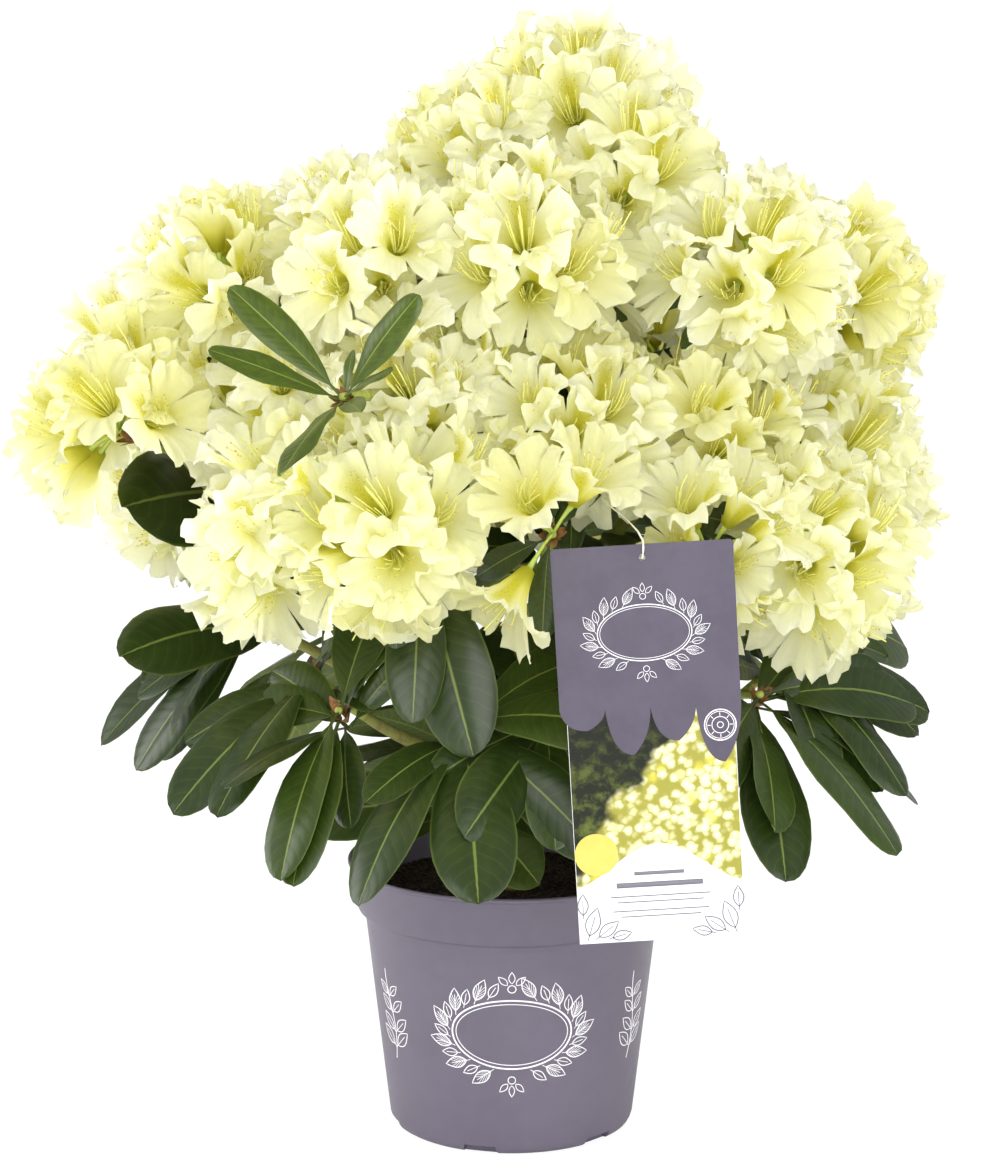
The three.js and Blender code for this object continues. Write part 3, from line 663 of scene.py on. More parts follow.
# %% Grow all whorls
def whorl_kind(head):
    """The kind of whorl that sits at a head."""
    if head["young"]:
        return "young"
    return "old" if head["kind"] == "foliage" else "under_truss"


for index, name in enumerate(mass_names):
    draw = seeded_draws(index + 1)
    for head in (head for head in heads if head["mass"] == name):
        grow_leaves(head, whorl_kind(head), draw)
for name, _, _, _, _, _, kind, *_ in BOUGHS:
    if kind == "blossom":
        fork = {"mass": name, "end": curves[name].points[-1], "young": False}
        fork["heading"] = curves[name].tip_direction()
        grow_leaves(fork, "below_fork", chance.uniform)
print("leaves:", len(leaf_spines))

# %% [markdown]
# ## A flower
# The corolla is one piece: a tube that opens into a funnel and splits into five round lobes. It is
# laid out as a grid, round by along. How far the grid reaches depends on the place round it: all the
# way at the middle of a lobe, and about half of it at a notch. The lobes curl back, twist a little
# and ruffle at the rim, which is what makes the truss look crowded.
# The uppermost lobe is at the middle of the map, since it carries the flare of spots.

# %% Corolla shape
LOBES = 5
COLUMNS_PER_LOBE = 14
ROUND = LOBES * COLUMNS_PER_LOBE
NOTCH = 0.48  # how far up the petal a notch reaches down from the rim
OVERLAP = 0.06
RUFFLE, EDGE_RUFFLE, RADIUS_RUFFLE, LOBE_GROOVE = 2.7, 2.3, 2.5, 2.0
FUNNEL = np.array([
    # share of the way along, radius and height, from the foot of the tube to the tip of a lobe
    (0.0, 2.4, 0.0), (0.07, 4.2, 1.2), (0.2, 6.4, 9.0), (0.34, 9.6, 17.5), (0.47, 14.2, 24.5),
    (0.59, 19.8, 30.0), (0.7, 25.4, 34.0), (0.8, 30.2, 36.4), (0.9, 34.4, 36.6), (1.0, 37.6, 34.4),
])
ALONG = FUNNEL[:, 0]
FLOWER_KINDS = 10


def corolla(kind_chance, openness):
    """Points of one flower, standing on its foot with its axis up, row by row."""
    turn, along = np.meshgrid(np.linspace(-np.pi, np.pi, ROUND, endpoint=False), ALONG)
    lobe = np.round(turn / (2 * np.pi / LOBES))
    side = (turn - lobe * 2 * np.pi / LOBES) / (np.pi / LOBES)
    number = (lobe.astype(int)) % LOBES
    lobe_reach = kind_chance.uniform(0.9, 1.0, LOBES)[number]
    curl = kind_chance.uniform(-5.0, 7.0, LOBES)[number]
    twist = kind_chance.uniform(2.0, 6.0, LOBES)[number]
    fine = kind_chance.uniform(0, 2 * np.pi, (4, LOBES))
    dip = 0.04 * np.exp(-((side / 0.14) ** 2)) + 0.02 * np.sin(13 * side + fine[3][number])
    reach = NOTCH + (lobe_reach - NOTCH) * np.sqrt(np.clip(1 - np.abs(side) ** 2.7, 0, 1)) - dip
    share = along * (1 - (1 - reach) * along**1.6)
    radius, height = (np.interp(share, ALONG, FUNNEL[:, k]) for k in (1, 2))
    free = smooth_step(NOTCH - 0.12, 1.0, share)
    radius = radius * (1 - (1 - openness) * 0.34 * free)
    height = height + (1 - openness) * 10 * free - curl * free**2 - 2.5 * free * np.cos(turn)
    lap = np.clip(1 - np.abs(side) ** 6, 0, 1)
    ruffle = np.sin(6.5 * side + fine[0][number]) + 0.9 * np.sin(11.5 * side + fine[1][number])
    edge = smooth_step(0.72, 1.0, along) * lap
    height = height + free * lap * (RUFFLE * ruffle + twist * side)
    height = height + EDGE_RUFFLE * edge * np.sin(14 * side + fine[2][number])
    height = height - LOBE_GROOVE * free * np.exp(-((side / 0.16) ** 2))
    radius = radius + free * lap * RADIUS_RUFFLE * np.sin(8.0 * side + fine[2][number])
    sideways = (0.08 * np.sin(5 * side + fine[1][number]) + OVERLAP * side) * free
    points = np.stack([radius * np.cos(turn + sideways), radius * np.sin(turn + sideways), height], axis=-1)
    return points.reshape(-1, 3)

# %% Ten corollas
flower_chance = np.random.default_rng(7)
flower_shapes = [corolla(flower_chance, flower_chance.uniform(0.62, 1.0)) for _ in range(FLOWER_KINDS)]
COROLLA_FACES = grid_faces(len(ALONG), ROUND, True)
COROLLA_PLACES = grid_places(len(ALONG), ROUND, True)
rows = np.round(COROLLA_PLACES[:, :, 1] * (len(ALONG) - 1)).astype(int)
COROLLA_PLACES[:, :, 1] = ALONG[rows]
print("corolla faces:", len(COROLLA_FACES))

# %% [markdown]
# ## Stamens and style
# Ten thin filaments rise from the foot of the tube, lie along its lower side and sweep up at the
# ends, each with a small ochre anther. One style is thicker and longer. They are tubes of three
# sides: nobody sees more of a thread that is less than a millimetre thick.

# %% Threads of the flower
def thread_line(turn, reach, lift, steps=5):
    """A line from the tube's foot that bows to the lower side and then rises to the upper one."""
    share = np.linspace(0, 1, steps)
    spread = 1.5 + reach * share**1.3
    x = spread * math.cos(turn) * 0.55 - 4.5 * np.sin(np.pi * share) + lift * share**2.4
    y = spread * math.sin(turn)
    return np.stack([x, y, 2 + (27 + 0.5 * lift) * share + 4 * share**2], axis=-1)


def flower_threads(kind_chance):
    """The filaments and the style of one flower."""
    filaments = []
    for i in range(10):
        turn = 2 * np.pi * i / 10 + kind_chance.uniform(-0.25, 0.25)
        reach = kind_chance.uniform(6, 11.5)
        filaments.append(thread_line(turn, reach, kind_chance.uniform(2, 9)))
    style = thread_line(np.pi, 3.5, 10.0, 7)
    style[:, 2] *= 1.2
    return filaments, style


thread_shapes = [flower_threads(flower_chance) for _ in range(FLOWER_KINDS)]


def spindle(centre, long_axis, length, radius):
    """Corners and faces of a small spindle, such as an anther."""
    level, other = across_axis(long_axis)
    ends = [centre - long_axis * length / 2, centre + long_axis * length / 2]
    ring = [centre + radius * arm for arm in (level, other, -level, -other)]
    faces = [(0, 2 + (i + 1) % 4, 2 + i) for i in range(4)] + [(1, 2 + i, 2 + (i + 1) % 4) for i in range(4)]
    return np.array(ends + ring), np.array(faces)


MIDDLE_PLACES = np.full((8, 3, 2), 0.5)  # eight triangles at the middle of the map

# %% [markdown]
# ## Trusses
# A truss is a dome of about a dozen flowers round the end of a shoot, spread at the golden angle. A
# flower stays in its truss's own space, and its mouth keeps a little off the mouths round it. The
# whole crown is full of bloom, so the places are tried in four rounds: three flowers that hang over
# the leaves below, the regular domes, more flowers where a dome has a hole, and last some on longer
# stalks that fill the crevices between the domes.

# %% How close flowers sit
STALK = 24.0
MOUTH = 44.0
WIDEST_TILT = 104.0
REGULAR_FLOWERS = 13
EXTRA_TRIES = 90
MOUTH_GAP = 39.0
EXTRA_GAP = 35.0
CREVICE = 90.0  # a crevice has two heads within this distance
CREVICE_TRIES = 160
CREVICE_GAP = 30.0
LOWEST_CREVICE = 440.0
HANGING_TILT = 112.0
RIM_TURNS = np.linspace(0, 2 * np.pi, 10, endpoint=False)
FLOWER_RINGS = ((37, 35), (24, 33), (10, 18))  # radius and height, from the rim to the tube
MOUTH_DEPTH = 8.0
mouths, flowers = [], []


def dome_tilt(share, widest):
    """The angle from a dome's axis that has a share of the dome's surface inside it."""
    return math.degrees(math.acos(1 - share * (1 - math.cos(math.radians(widest)))))

# %% Room for a flower
def rim_points(foot, away, size):
    """Points round the widest part of a flower and halfway down its funnel."""
    level, other = across_axis(away)
    ring = np.cos(RIM_TURNS)[:, None] * level + np.sin(RIM_TURNS)[:, None] * other
    rings = [foot + size * (height * away + radius * ring) for radius, height in FLOWER_RINGS]
    return np.concatenate(rings)


def try_flower(number, away, size, gap, stalk=STALK):
    """Adds the flower if there is room for it, and says whether it did."""
    end = trusses[number]["end"]
    mouth = end + (stalk + MOUTH - MOUTH_DEPTH) * size * away
    others = np.linalg.norm(HEAD_ENDS - mouth, axis=1)
    if (others < (STALK + MOUTH - MOUTH_DEPTH) * size - 6).any():
        return False
    if stalk > STALK and (np.sort(others)[1] > CREVICE or mouth[2] < LOWEST_CREVICE):
        return False
    foot = end + stalk * size * away
    rim = rim_points(foot, away, size)
    if near_tag(rim, 2.0) or in_pot(rim) or in_left_open(rim):
        return False
    if mouths and nearest(mouth[None], np.array(mouths)) < gap:
        return False
    mouths.append(mouth)
    flowers.append({"truss": number, "away": away, "size": size, "foot": foot})
    return True

# %% Place the flowers
HANGING_FLOWERS = [
    # bough and direction
    ("left_front", (0.02, -0.72, -0.7)),
    ("right_front", (-0.1, -0.72, -0.68)),
    ("front_right", (-0.55, -0.35, -0.76)),
]
for name, away in HANGING_FLOWERS:
    lowest_truss = min((truss["end"][2], i) for i, truss in enumerate(trusses) if truss["mass"] == name)[1]
    try_flower(lowest_truss, unit(np.array(away)), 1.05, MOUTH_GAP)
for number, truss in enumerate(trusses):
    for i in range(REGULAR_FLOWERS):
        tilt = dome_tilt((i + 0.5) / REGULAR_FLOWERS, WIDEST_TILT)
        turn = i * GOLDEN_ANGLE + chance.uniform(-6, 6) + 40 * number
        away = tilted(truss["heading"], tilt + chance.uniform(-4, 4), turn)
        size = chance.uniform(0.95, 1.05)
        any(try_flower(number, away, size * shrunk, MOUTH_GAP) for shrunk in (1, 0.9, 0.8))
for number, truss in enumerate(trusses):
    outward = unit(truss["end"] * (1, 1, 0))
    for i in range(EXTRA_TRIES):
        tilt = dome_tilt(chance.random(), HANGING_TILT)
        away = tilted(truss["heading"], tilt, chance.uniform(0, 360))
        size = chance.uniform(0.86, 1.02)
        if tilt > WIDEST_TILT and away @ outward < -0.15:
            continue
        any(try_flower(number, away, size * shrunk, EXTRA_GAP) for shrunk in (1, 0.88, 0.76))
for number, truss in enumerate(trusses):
    for i in range(CREVICE_TRIES):
        away = tilted(truss["heading"], chance.uniform(25, HANGING_TILT), chance.uniform(0, 360))
        try_flower(number, away, chance.uniform(0.82, 0.98), CREVICE_GAP, STALK + chance.uniform(4, 24))
print("flowers:", len(flowers))

# %% [markdown]
# ## Flowers in four tints
# Ten corollas are enough, since each is turned and sized anew. A flower takes the tint of its truss
# more often than another one, and no tint gets much more than its share. The spotted lobe points up,
# with a little roll to either side.

# %% Grow the flowers
TRUSS_TINT_SHARE = 0.6
LARGEST_TINT_SHARE = 0.27
petal_sheaves = [Sheaf(f"petals_{name}") for name in ("cream", "pale", "lemon", "ivory")]
thread_sheaf = Sheaf("filaments")
anther_sheaf = Sheaf("anthers")
stalk_sheaf = Sheaf("flower_stalks")
tint_counts = np.zeros(len(petal_sheaves), int)
truss_tints = chance.integers(0, len(petal_sheaves), len(trusses))


def upper_side(heading, away):
    """The way that the spotted lobe of a flower points."""
    upper = heading + 0.6 * UP
    upper = upper - (upper @ away) * away
    upper = unit(upper if np.linalg.norm(upper) >= 0.25 else across_axis(away)[1])
    roll = math.radians(chance.uniform(-22, 22))
    return math.cos(roll) * upper + math.sin(roll) * np.cross(away, upper)


def deal_tint(number):
    """A tint for a flower of a truss, with no tint far ahead of the others."""
    own = chance.random() < TRUSS_TINT_SHARE
    tint = truss_tints[number] if own else chance.integers(len(petal_sheaves))
    if tint_counts[tint] > LARGEST_TINT_SHARE * len(flowers):
        tint = int(np.argmin(tint_counts))
    tint_counts[tint] += 1
    return tint


for flower in flowers:
    truss = trusses[flower["truss"]]
    away, size, foot = flower["away"], flower["size"], flower["foot"]
    upper = upper_side(truss["heading"], away)
    turned = size * np.stack([upper, np.cross(away, upper), away])
    kind = chance.integers(FLOWER_KINDS)
    tint = deal_tint(flower["truss"])
    petal_sheaves[tint].add(flower_shapes[kind] @ turned + foot, COROLLA_FACES, COROLLA_PLACES)
    filaments, style = thread_shapes[kind]
    for line in filaments:
        line = line @ turned + foot
        add_tube(thread_sheaf, line, 0.4, 3, capped=False)
        corners, faces = spindle(line[-1], unit(line[-1] - line[-2] + 0.6 * upper), 2.5, 0.62)
        anther_sheaf.add(corners, faces, MIDDLE_PLACES)
    line = style @ turned + foot
    add_tube(thread_sheaf, line, np.linspace(0.8, 0.5, len(line)), 3, capped=False)
    bow = truss["end"] + 3 * truss["heading"]
    stalk = Curve(bow, 0.5 * (bow + foot) - 3 * away + 2 * UP, foot + 1.5 * away, 5)
    add_tube(stalk_sheaf, stalk.points, np.array([1.1, 1.1, 1.15, 1.5, 2.5]), 5)
print("flowers of each tint:", tint_counts)

# %% [markdown]
# ## Limbs with bark
# The trunk of a young rhododendron is brown and ridged, and its boughs turn greener and smoother
# towards the tips, with a ring of scars wherever a whorl of leaves has dropped off. The limbs are
# tubes of fourteen sides whose radius is nudged by waves: long ridges, small lumps and the rings.
# A limb starts inside its parent, so that the wood looks grown together there.

# %% Grow the limbs
LIMB_SIDES = 14
TWIG_RADII = (3.3, 3.1, 2.4)  # of a stem, and at the foot and the tip of a shoot


def add_limb(sheaf, points, radii, roughness):
    """A closed tube with a relief of ridges, lumps and rings."""
    points, radii = np.asarray(points), np.asarray(radii)
    count = len(points)
    along = np.concatenate([[0], np.cumsum(np.linalg.norm(np.diff(points, axis=0), axis=1))])
    corners = tube(points, np.ones(count), LIMB_SIDES).reshape(count, LIMB_SIDES, 3)
    turn = full_turn(LIMB_SIDES)[None]
    along = along[:, None]
    phase = chance.uniform(0, 2 * np.pi, 4)
    ridges = np.sin(5 * turn + 0.05 * along + phase[0] + np.sin(0.11 * along))
    lumps = np.sin(3 * turn + 0.32 * along + phase[1]) * np.sin(0.21 * along + phase[2])
    ring_gap = chance.uniform(34, 46)
    rings = np.exp(-((((along + 12 * phase[3]) % ring_gap - 6) / 2.0) ** 2))
    relief = 1 + roughness * (0.05 * ridges + 0.05 * lumps) + 0.09 * rings
    corners = points[:, None] + (corners - points[:, None]) * (radii[:, None] * relief)[..., None]
    bottom, top = (np.broadcast_to(end, (1, LIMB_SIDES, 3)) for end in (points[0], points[-1]))
    sheaf.add_grid(np.concatenate([bottom, corners, top]), count + 2, LIMB_SIDES, True)


limb_sheaf = Sheaf("limbs")
twig_sheaf = Sheaf("twigs")
share = np.linspace(0, 1, 44)
flare = np.clip(1 - share * TRUNK["height"] / TRUNK["flare_height"], 0, None)
trunk_radii = TRUNK_RADII["foot"] + (TRUNK_RADII["tip"] - TRUNK_RADII["foot"]) * share
trunk_radii = trunk_radii + (TRUNK_RADII["flare"] - TRUNK_RADII["foot"]) * flare**2
add_limb(limb_sheaf, curves["trunk"].at(share), trunk_radii, 1.3)
for name, *_ in BOUGHS:
    curve = curves[name]
    share = np.linspace(0, 1, max(12, int(curve.along[-1] / 4)))
    radii = BOUGH_RADII[0] + (BOUGH_RADII[1] - BOUGH_RADII[0]) * share
    add_limb(limb_sheaf, curve.at(share), radii, 0.8)
for curve in stems:
    share = np.linspace(0, 1, max(5, int(curve.along[-1] / 5)))
    add_limb(twig_sheaf, curve.at(share), np.full(len(share), TWIG_RADII[0]), 0.3)
for curve in shoots:
    share = np.linspace(0, 1, 12)
    radii = TWIG_RADII[1] + (TWIG_RADII[2] - TWIG_RADII[1]) * share
    add_limb(twig_sheaf, curve.at(share), radii, 0.3)

# %% [markdown]
# ## Bud scales
# Where a shoot ends, the brown scales that wrapped the bud in winter still sit round the foot of the
# truss or of the young leaves. Each is a small cupped blade, a grid of fifteen points.

# %% Grow the scales
scale_sheaf = Sheaf("bud_scales")
SCALE_ROWS = np.linspace(0, 1, 5)
SCALE_SIDES = np.array([-1.0, 0.0, 1.0])
SCALES = 9
SCALE_TURN = 137.5  # degrees from one scale to the next


def add_scale(foot, axis, outward, length):
    """One cupped scale that stands on its foot and leans outward."""
    share, side = np.meshgrid(SCALE_ROWS, SCALE_SIDES, indexing="ij")
    width = 0.26 * length * np.sin(np.pi * np.clip(share * 0.9 + 0.08, 0, 1)) ** 0.7
    lift = 0.3 * length * share**1.6 - 0.35 * width * side**2
    across = np.cross(axis, outward)
    points = foot + (length * share)[..., None] * axis + (side * width)[..., None] * across
    points = points + lift[..., None] * outward
    scale_sheaf.add_grid(points, *share.shape)


for head in heads:
    axis = head["heading"]
    for i in range(SCALES):
        outward = tilted(axis, 90, SCALE_TURN * i + chance.uniform(-10, 10))
        foot = head["end"] + (2.2 + 0.1 * i) * outward - axis * (6 + chance.uniform(0, 6))
        add_scale(foot, unit(axis + 0.25 * outward), outward, chance.uniform(7, 13))
print("bud scales:", SCALES * len(heads))

# %% [markdown]
# ## The pot
# A nursery pot is moulded from thin plastic: a tapered body, a step, a taller rim band and a
# small bead where it ends, with notches under the foot that let water out. A turned profile gives it
# all but the notches, so the profile is spun round the axis by hand, with its corners rounded, and
# the notches are cut with a Boolean modifier, which is applied.

# %% The pot's profile
POT_OUTSIDE = [
    # radius and height: the foot ring, the tapered wall, the step, the rim band and its bead
    (0, 2.2), (60, 2.2), (66, 1.6), (70, 0.3), (74.5, 0.0), (78, 0.5), (80.2, 1.9), (81.4, 4.0), (82.2, 6.5),
    (84.0, 21.5), (86.9, 46.5), (89.9, 72), (92.8, 97), (95.7, 122), (98.0, 142),
    (98.5, 145.4), (99.4, 146.9), (101.8, 148.1), (103.0, 149.0), (103.7, 150.6),
    (105.0, 160), (106.2, 169.5), (107.2, 176.6), (107.9, 178.3),
    (109.3, 179.0), (109.9, 179.8), (109.9, 181.0), (109.3, 181.8), (108.3, 182.0),
]
POT_INSIDE = [
    # the same way back, from the rim to the middle of the floor
    (107.3, 181.6), (106.6, 180.2), (105.5, 177.2), (104.0, 165), (102.0, 152.4), (101.0, 150.9),
    (97.6, 149.0), (96.7, 147.4), (96.3, 144.0), (93.7, 122), (90.8, 97), (84.9, 46.5), (80.7, 10.5),
    (79.8, 9.0), (0, 9.0),
]
POT_SIDES = 144
NOTCHES = 6
NOTCH_SIZE = (14.0, 26.0, 12.0)  # through the foot ring, along it and up
NOTCH_REACH = 81.5
NOTCH_TOP_SHARE = 0.8  # a notch is narrower at the top

# %% Tools for made things
def turned(profile, sides):
    """Rows of points: a profile of (radius, height) spun round the z axis."""
    turn = full_turn(sides)
    radius, height = np.array(profile, float).T
    x = radius[:, None] * np.cos(turn)
    y = radius[:, None] * np.sin(turn)
    return np.stack([x, y, np.broadcast_to(height[:, None], x.shape)], axis=-1).reshape(-1, 3)


def spun(x, y, turn):
    """A flat place turned round the middle."""
    return x * math.cos(turn) - y * math.sin(turn), x * math.sin(turn) + y * math.cos(turn)


def mesh_object(name, points, faces):
    """A mesh object in metres from points in millimetres."""
    mesh = bpy.data.meshes.new(name)
    mesh.from_pydata([tuple(p) for p in np.asarray(points) * MM], [], [tuple(map(int, f)) for f in faces])
    mesh.update()
    return new_object(name, mesh)


def finished_mesh(source):
    """A mesh of what the modifiers or the curve of an object make."""
    shown = source.evaluated_get(bpy.context.evaluated_depsgraph_get())
    return bpy.data.meshes.new_from_object(shown)


def apply_modifiers(piece):
    """Turns what the modifiers make into the piece's own mesh."""
    mesh = finished_mesh(piece)
    piece.modifiers.clear()
    piece.data = mesh


def smooth_by_angle(mesh, degrees=30):
    """Shades smooth, but keeps every edge sharper than the angle crisp."""
    mesh.shade_smooth()
    mesh.set_sharp_from_angle(angle=math.radians(degrees))

# %% Turn the pot
pot_profile = POT_OUTSIDE + POT_INSIDE
pot_points = turned(pot_profile, POT_SIDES)
pot = mesh_object("nursery_pot", pot_points, grid_faces(len(pot_profile), POT_SIDES, True))
weld = pot.modifiers.new("close_the_poles", "WELD")
weld.merge_threshold = 0.00001
apply_modifiers(pot)

# %% Cut the notches
BOX_FACES = [(0, 1, 3, 2), (4, 6, 7, 5), (0, 4, 5, 1), (2, 3, 7, 6), (0, 2, 6, 4), (1, 5, 7, 3)]
for i in range(NOTCHES):
    turn = (i + 0.25) / NOTCHES * 2 * math.pi
    box_points = []
    for dx, dy, dz in np.ndindex(2, 2, 2):
        x = NOTCH_REACH + (dx - 0.5) * NOTCH_SIZE[0]
        y = (dy - 0.5) * NOTCH_SIZE[1] * (NOTCH_TOP_SHARE if dz else 1.0)
        z = (dz - 0.5) * NOTCH_SIZE[2]
        box_points.append((*spun(x, y, turn), z))
    cutter = mesh_object("notch_cutter", box_points, BOX_FACES)
    cut = pot.modifiers.new("notch", "BOOLEAN")
    cut.operation = "DIFFERENCE"
    cut.solver = "EXACT"
    cut.object = cutter
    apply_modifiers(pot)
    bpy.data.objects.remove(cutter)
smooth_by_angle(pot.data, 32)
print("pot:", len(pot.data.vertices), "points,", NOTCHES, "notches")

# %% [markdown]
# ## Peat
# The soil is black peat: a lumpy field, higher round the trunk, with crumbs and bark chips lying on
# it. The field is the top of a turned block that fills the pot, and the crumbs are small crumpled
# octahedra strewn over it by the seeded chance.

# %% Fill the pot
PEAT_ROWS = np.array([0, 8, 16, 24, 32, 40, 48, 56, 64, 72, 80, 86, 91, 95, 98, 100.6])


def peat_height(x, y):
    """The lumpy surface, which sinks towards the wall and rises round the trunk."""
    reach = np.hypot(x, y)
    lumps = 1.1 * np.sin(0.21 * x + 1.3) * np.sin(0.19 * y + 0.4) + 0.8 * np.sin(0.43 * x - 0.31 * y)
    lumps = lumps + 0.6 * np.sin(0.9 * x + 0.5 * np.sin(0.7 * y)) * np.sin(0.83 * y)
    return SOIL_LEVEL - 1.2 - 3.6 * smooth_step(60, 100, reach) + lumps + 1.5 * np.exp(-((reach / 24) ** 2))


PEAT_BODY = [(101.6, 152), (96.0, 146), (79.9, 12), (79.0, 9.6), (0.0, 9.6)]  # below the surface
PEAT_SIDES = 120
peat_points = turned([(radius, 0) for radius in PEAT_ROWS] + PEAT_BODY, PEAT_SIDES)
surface = peat_points[: len(PEAT_ROWS) * PEAT_SIDES]
surface[:, 2] = peat_height(surface[:, 0], surface[:, 1])
peat_sheaf = Sheaf("peat")
peat_sheaf.add_grid(peat_points, len(PEAT_ROWS) + len(PEAT_BODY), PEAT_SIDES, True)

# %% Strew the crumbs
OCTAHEDRON = np.array([(1, 0, 0), (-1, 0, 0), (0, 1, 0), (0, -1, 0), (0, 0, 1), (0, 0, -1)], float)
OCTAHEDRON_FACES = np.array([
    (0, 2, 4), (2, 1, 4), (1, 3, 4), (3, 0, 4), (2, 0, 5), (1, 2, 5), (3, 1, 5), (0, 3, 5),
])
CRUMBS = 1500
CRUMB_REACH = 99  # from the middle of the pot
crumb_sheaf = Sheaf("peat_crumbs")
for _ in range(CRUMBS):
    reach, bearing = CRUMB_REACH * math.sqrt(chance.random()), chance.uniform(0, 2 * np.pi)
    x, y = reach * math.cos(bearing), reach * math.sin(bearing)
    size = chance.uniform(0.5, 1.9) * np.array([1, chance.uniform(0.5, 1), chance.uniform(0.35, 0.8)])
    spin = chance.uniform(0, np.pi)
    shape = OCTAHEDRON * size * chance.uniform(0.7, 1.3, (6, 3))
    shape = np.stack([*spun(shape[:, 0], shape[:, 1], spin), shape[:, 2]], axis=-1)
    place = np.array([x, y, peat_height(x, y) + 0.2])
    crumb_sheaf.add(shape + place, OCTAHEDRON_FACES, MIDDLE_PLACES)

# %% [markdown]
# ## Line ornament
# The pot and the tag are printed with thin white lines. The print here is a plain one: an oval of two
# lines with a wreath of simple leaves round it. Ink has a thickness, if a very small one, so each line
# is a narrow ribbon that stands a tenth of a millimetre proud of what it is printed on.
# The ribbons are drawn flat, in millimetres across and up, and then wrapped on the surface.

# %% Ribbons and lines
def ribbon(sheaf, line, width, wrap, closed=False, proud=0.12):
    """Adds a ribbon along a flat line. wrap(across, up, lift) gives the point on the surface."""
    line = np.asarray(line, float)
    ends = np.concatenate([line[-1:], line, line[:1]]) if closed else line
    tangent = np.gradient(ends, axis=0)
    tangent = tangent[1:-1] if closed else tangent
    tangent /= np.linalg.norm(tangent, axis=1)[:, None] + 1e-9
    side = np.stack([-tangent[:, 1], tangent[:, 0]], axis=1) * width / 2
    if closed:
        line, side = np.concatenate([line, line[:1]]), np.concatenate([side, side[:1]])
    columns = []
    for place, lift in ((line - side, -0.1), (line - side, proud), (line + side, proud), (line + side, -0.1)):
        columns.append(wrap(place[:, 0], place[:, 1], lift))
    points = np.stack(columns, axis=1)
    sheaf.add_grid(points, len(line), 4)


def oval(across, up, middle=(0, 0), steps=72):
    """Points round an oval, without the first one again at the end."""
    turn = full_turn(steps)
    return np.stack([middle[0] + across * np.cos(turn), middle[1] + up * np.sin(turn)], axis=1)


def leaf_lines(foot, bearing, length, fat=0.24):
    """The outline and the midrib of a plain leaf."""
    share = np.linspace(0, 1, 9)
    half = fat * length * np.sin(np.pi * share**0.85)
    sides = [np.stack([length * share, edge], axis=1) for edge in (half, -half)]
    local = np.concatenate([sides[0], sides[1][-2:0:-1]])
    rib = np.stack([length * np.linspace(-0.18, 0.72, 4), np.zeros(4)], axis=1)
    turn = np.array([[math.cos(bearing), math.sin(bearing)], [-math.sin(bearing), math.cos(bearing)]])
    return local @ turn + foot, rib @ turn + foot


def wreath_leaf(sheaf, wrap, foot, bearing, length, width, veined):
    """A leaf of lines: its outline and midrib, and in a veined one four pairs of side veins."""
    outline, rib = leaf_lines(foot, bearing, length)
    ribbon(sheaf, outline, 0.55 * width, wrap, True)
    ribbon(sheaf, rib, 0.4 * width, wrap)
    for near in range(2, 6) if veined else ():
        start = rib[0] + (rib[-1] - rib[0]) * near / 8
        for partner in (near + 1, -near - 1):
            ribbon(sheaf, [start, outline[partner]], 0.3 * width, wrap)

# %% Wreaths and sprigs
def wreath(sheaf, wrap, across, up, leaves, length, width, middle=(0, 0)):
    """Two ovals, one inside the other, with leaves that lean along the outer one by turns, and a
    knot with three small leaves at its top and at its foot."""
    ribbon(sheaf, oval(across, up, middle), width, wrap, True)
    ribbon(sheaf, oval(across - 2.4 * width, up - 2.4 * width, middle), 0.5 * width, wrap, True)
    feet = oval(across + 3.2 * width, up + 3.2 * width, middle, 2 * leaves)[1::2]
    for i in range(leaves):
        turn = 2 * np.pi * (i + 0.5) / leaves
        if abs(math.cos(turn)) < 0.16:
            continue
        outward = math.atan2(math.sin(turn) / up, math.cos(turn) / across)
        lean = -0.75 if math.cos(turn) > 0 else 0.75
        large = i % 2 == 1
        wreath_leaf(sheaf, wrap, feet[i], outward - lean, length * (1.0 if large else 0.72), width, large)
    for end in (-1, 1):
        knot = np.array([middle[0], middle[1] + end * (up + 4.4 * width + 0.2 * length)])
        ribbon(sheaf, oval(0.16 * length, 0.16 * length, knot, 20), 0.55 * width, wrap, True)
        for turn in (0.25, 0.5, 0.75):
            bearing = end * turn * math.pi
            spoke = np.array([math.cos(bearing), math.sin(bearing)])
            outline = leaf_lines(knot + 0.24 * length * spoke, bearing, 0.5 * length)[0]
            ribbon(sheaf, outline, 0.5 * width, wrap, True)


def sprig_lines(sheaf, wrap, height, pairs, length, width):
    """An upright stem with pairs of plain leaves."""
    sway = 0.05 * height * np.sin(np.linspace(0, 5, 24))
    stem = np.stack([sway, np.linspace(-height / 2, height / 2, 24)], axis=1)
    ribbon(sheaf, stem, 0.6 * width, wrap)
    for i in range(pairs):
        size = length * (1 - 0.1 * i)
        for side in (-1, 1):
            foot = stem[3 + int(18 * i / pairs)] + (side * 0.12 * size, 0.1 * size)
            wreath_leaf(sheaf, wrap, foot, math.pi / 2 - side * 0.85, size, width, False)

# %% Print the pot
def pot_wall(height):
    """The radius of the tapered wall at a height."""
    radius, level = np.array(POT_OUTSIDE).T
    return np.interp(height, level[4:], radius[4:])


def wrap_on_pot(bearing, level):
    """Wraps flat places on the pot's wall, round a middle at a bearing and a height."""
    def wrap(across, up, lift):
        """The point on the wall, or a little above it."""
        height = level + up
        reach = pot_wall(height) + lift
        turn = math.radians(bearing) + across / pot_wall(level)
        return np.stack([reach * np.cos(turn), reach * np.sin(turn), height], axis=-1)
    return wrap


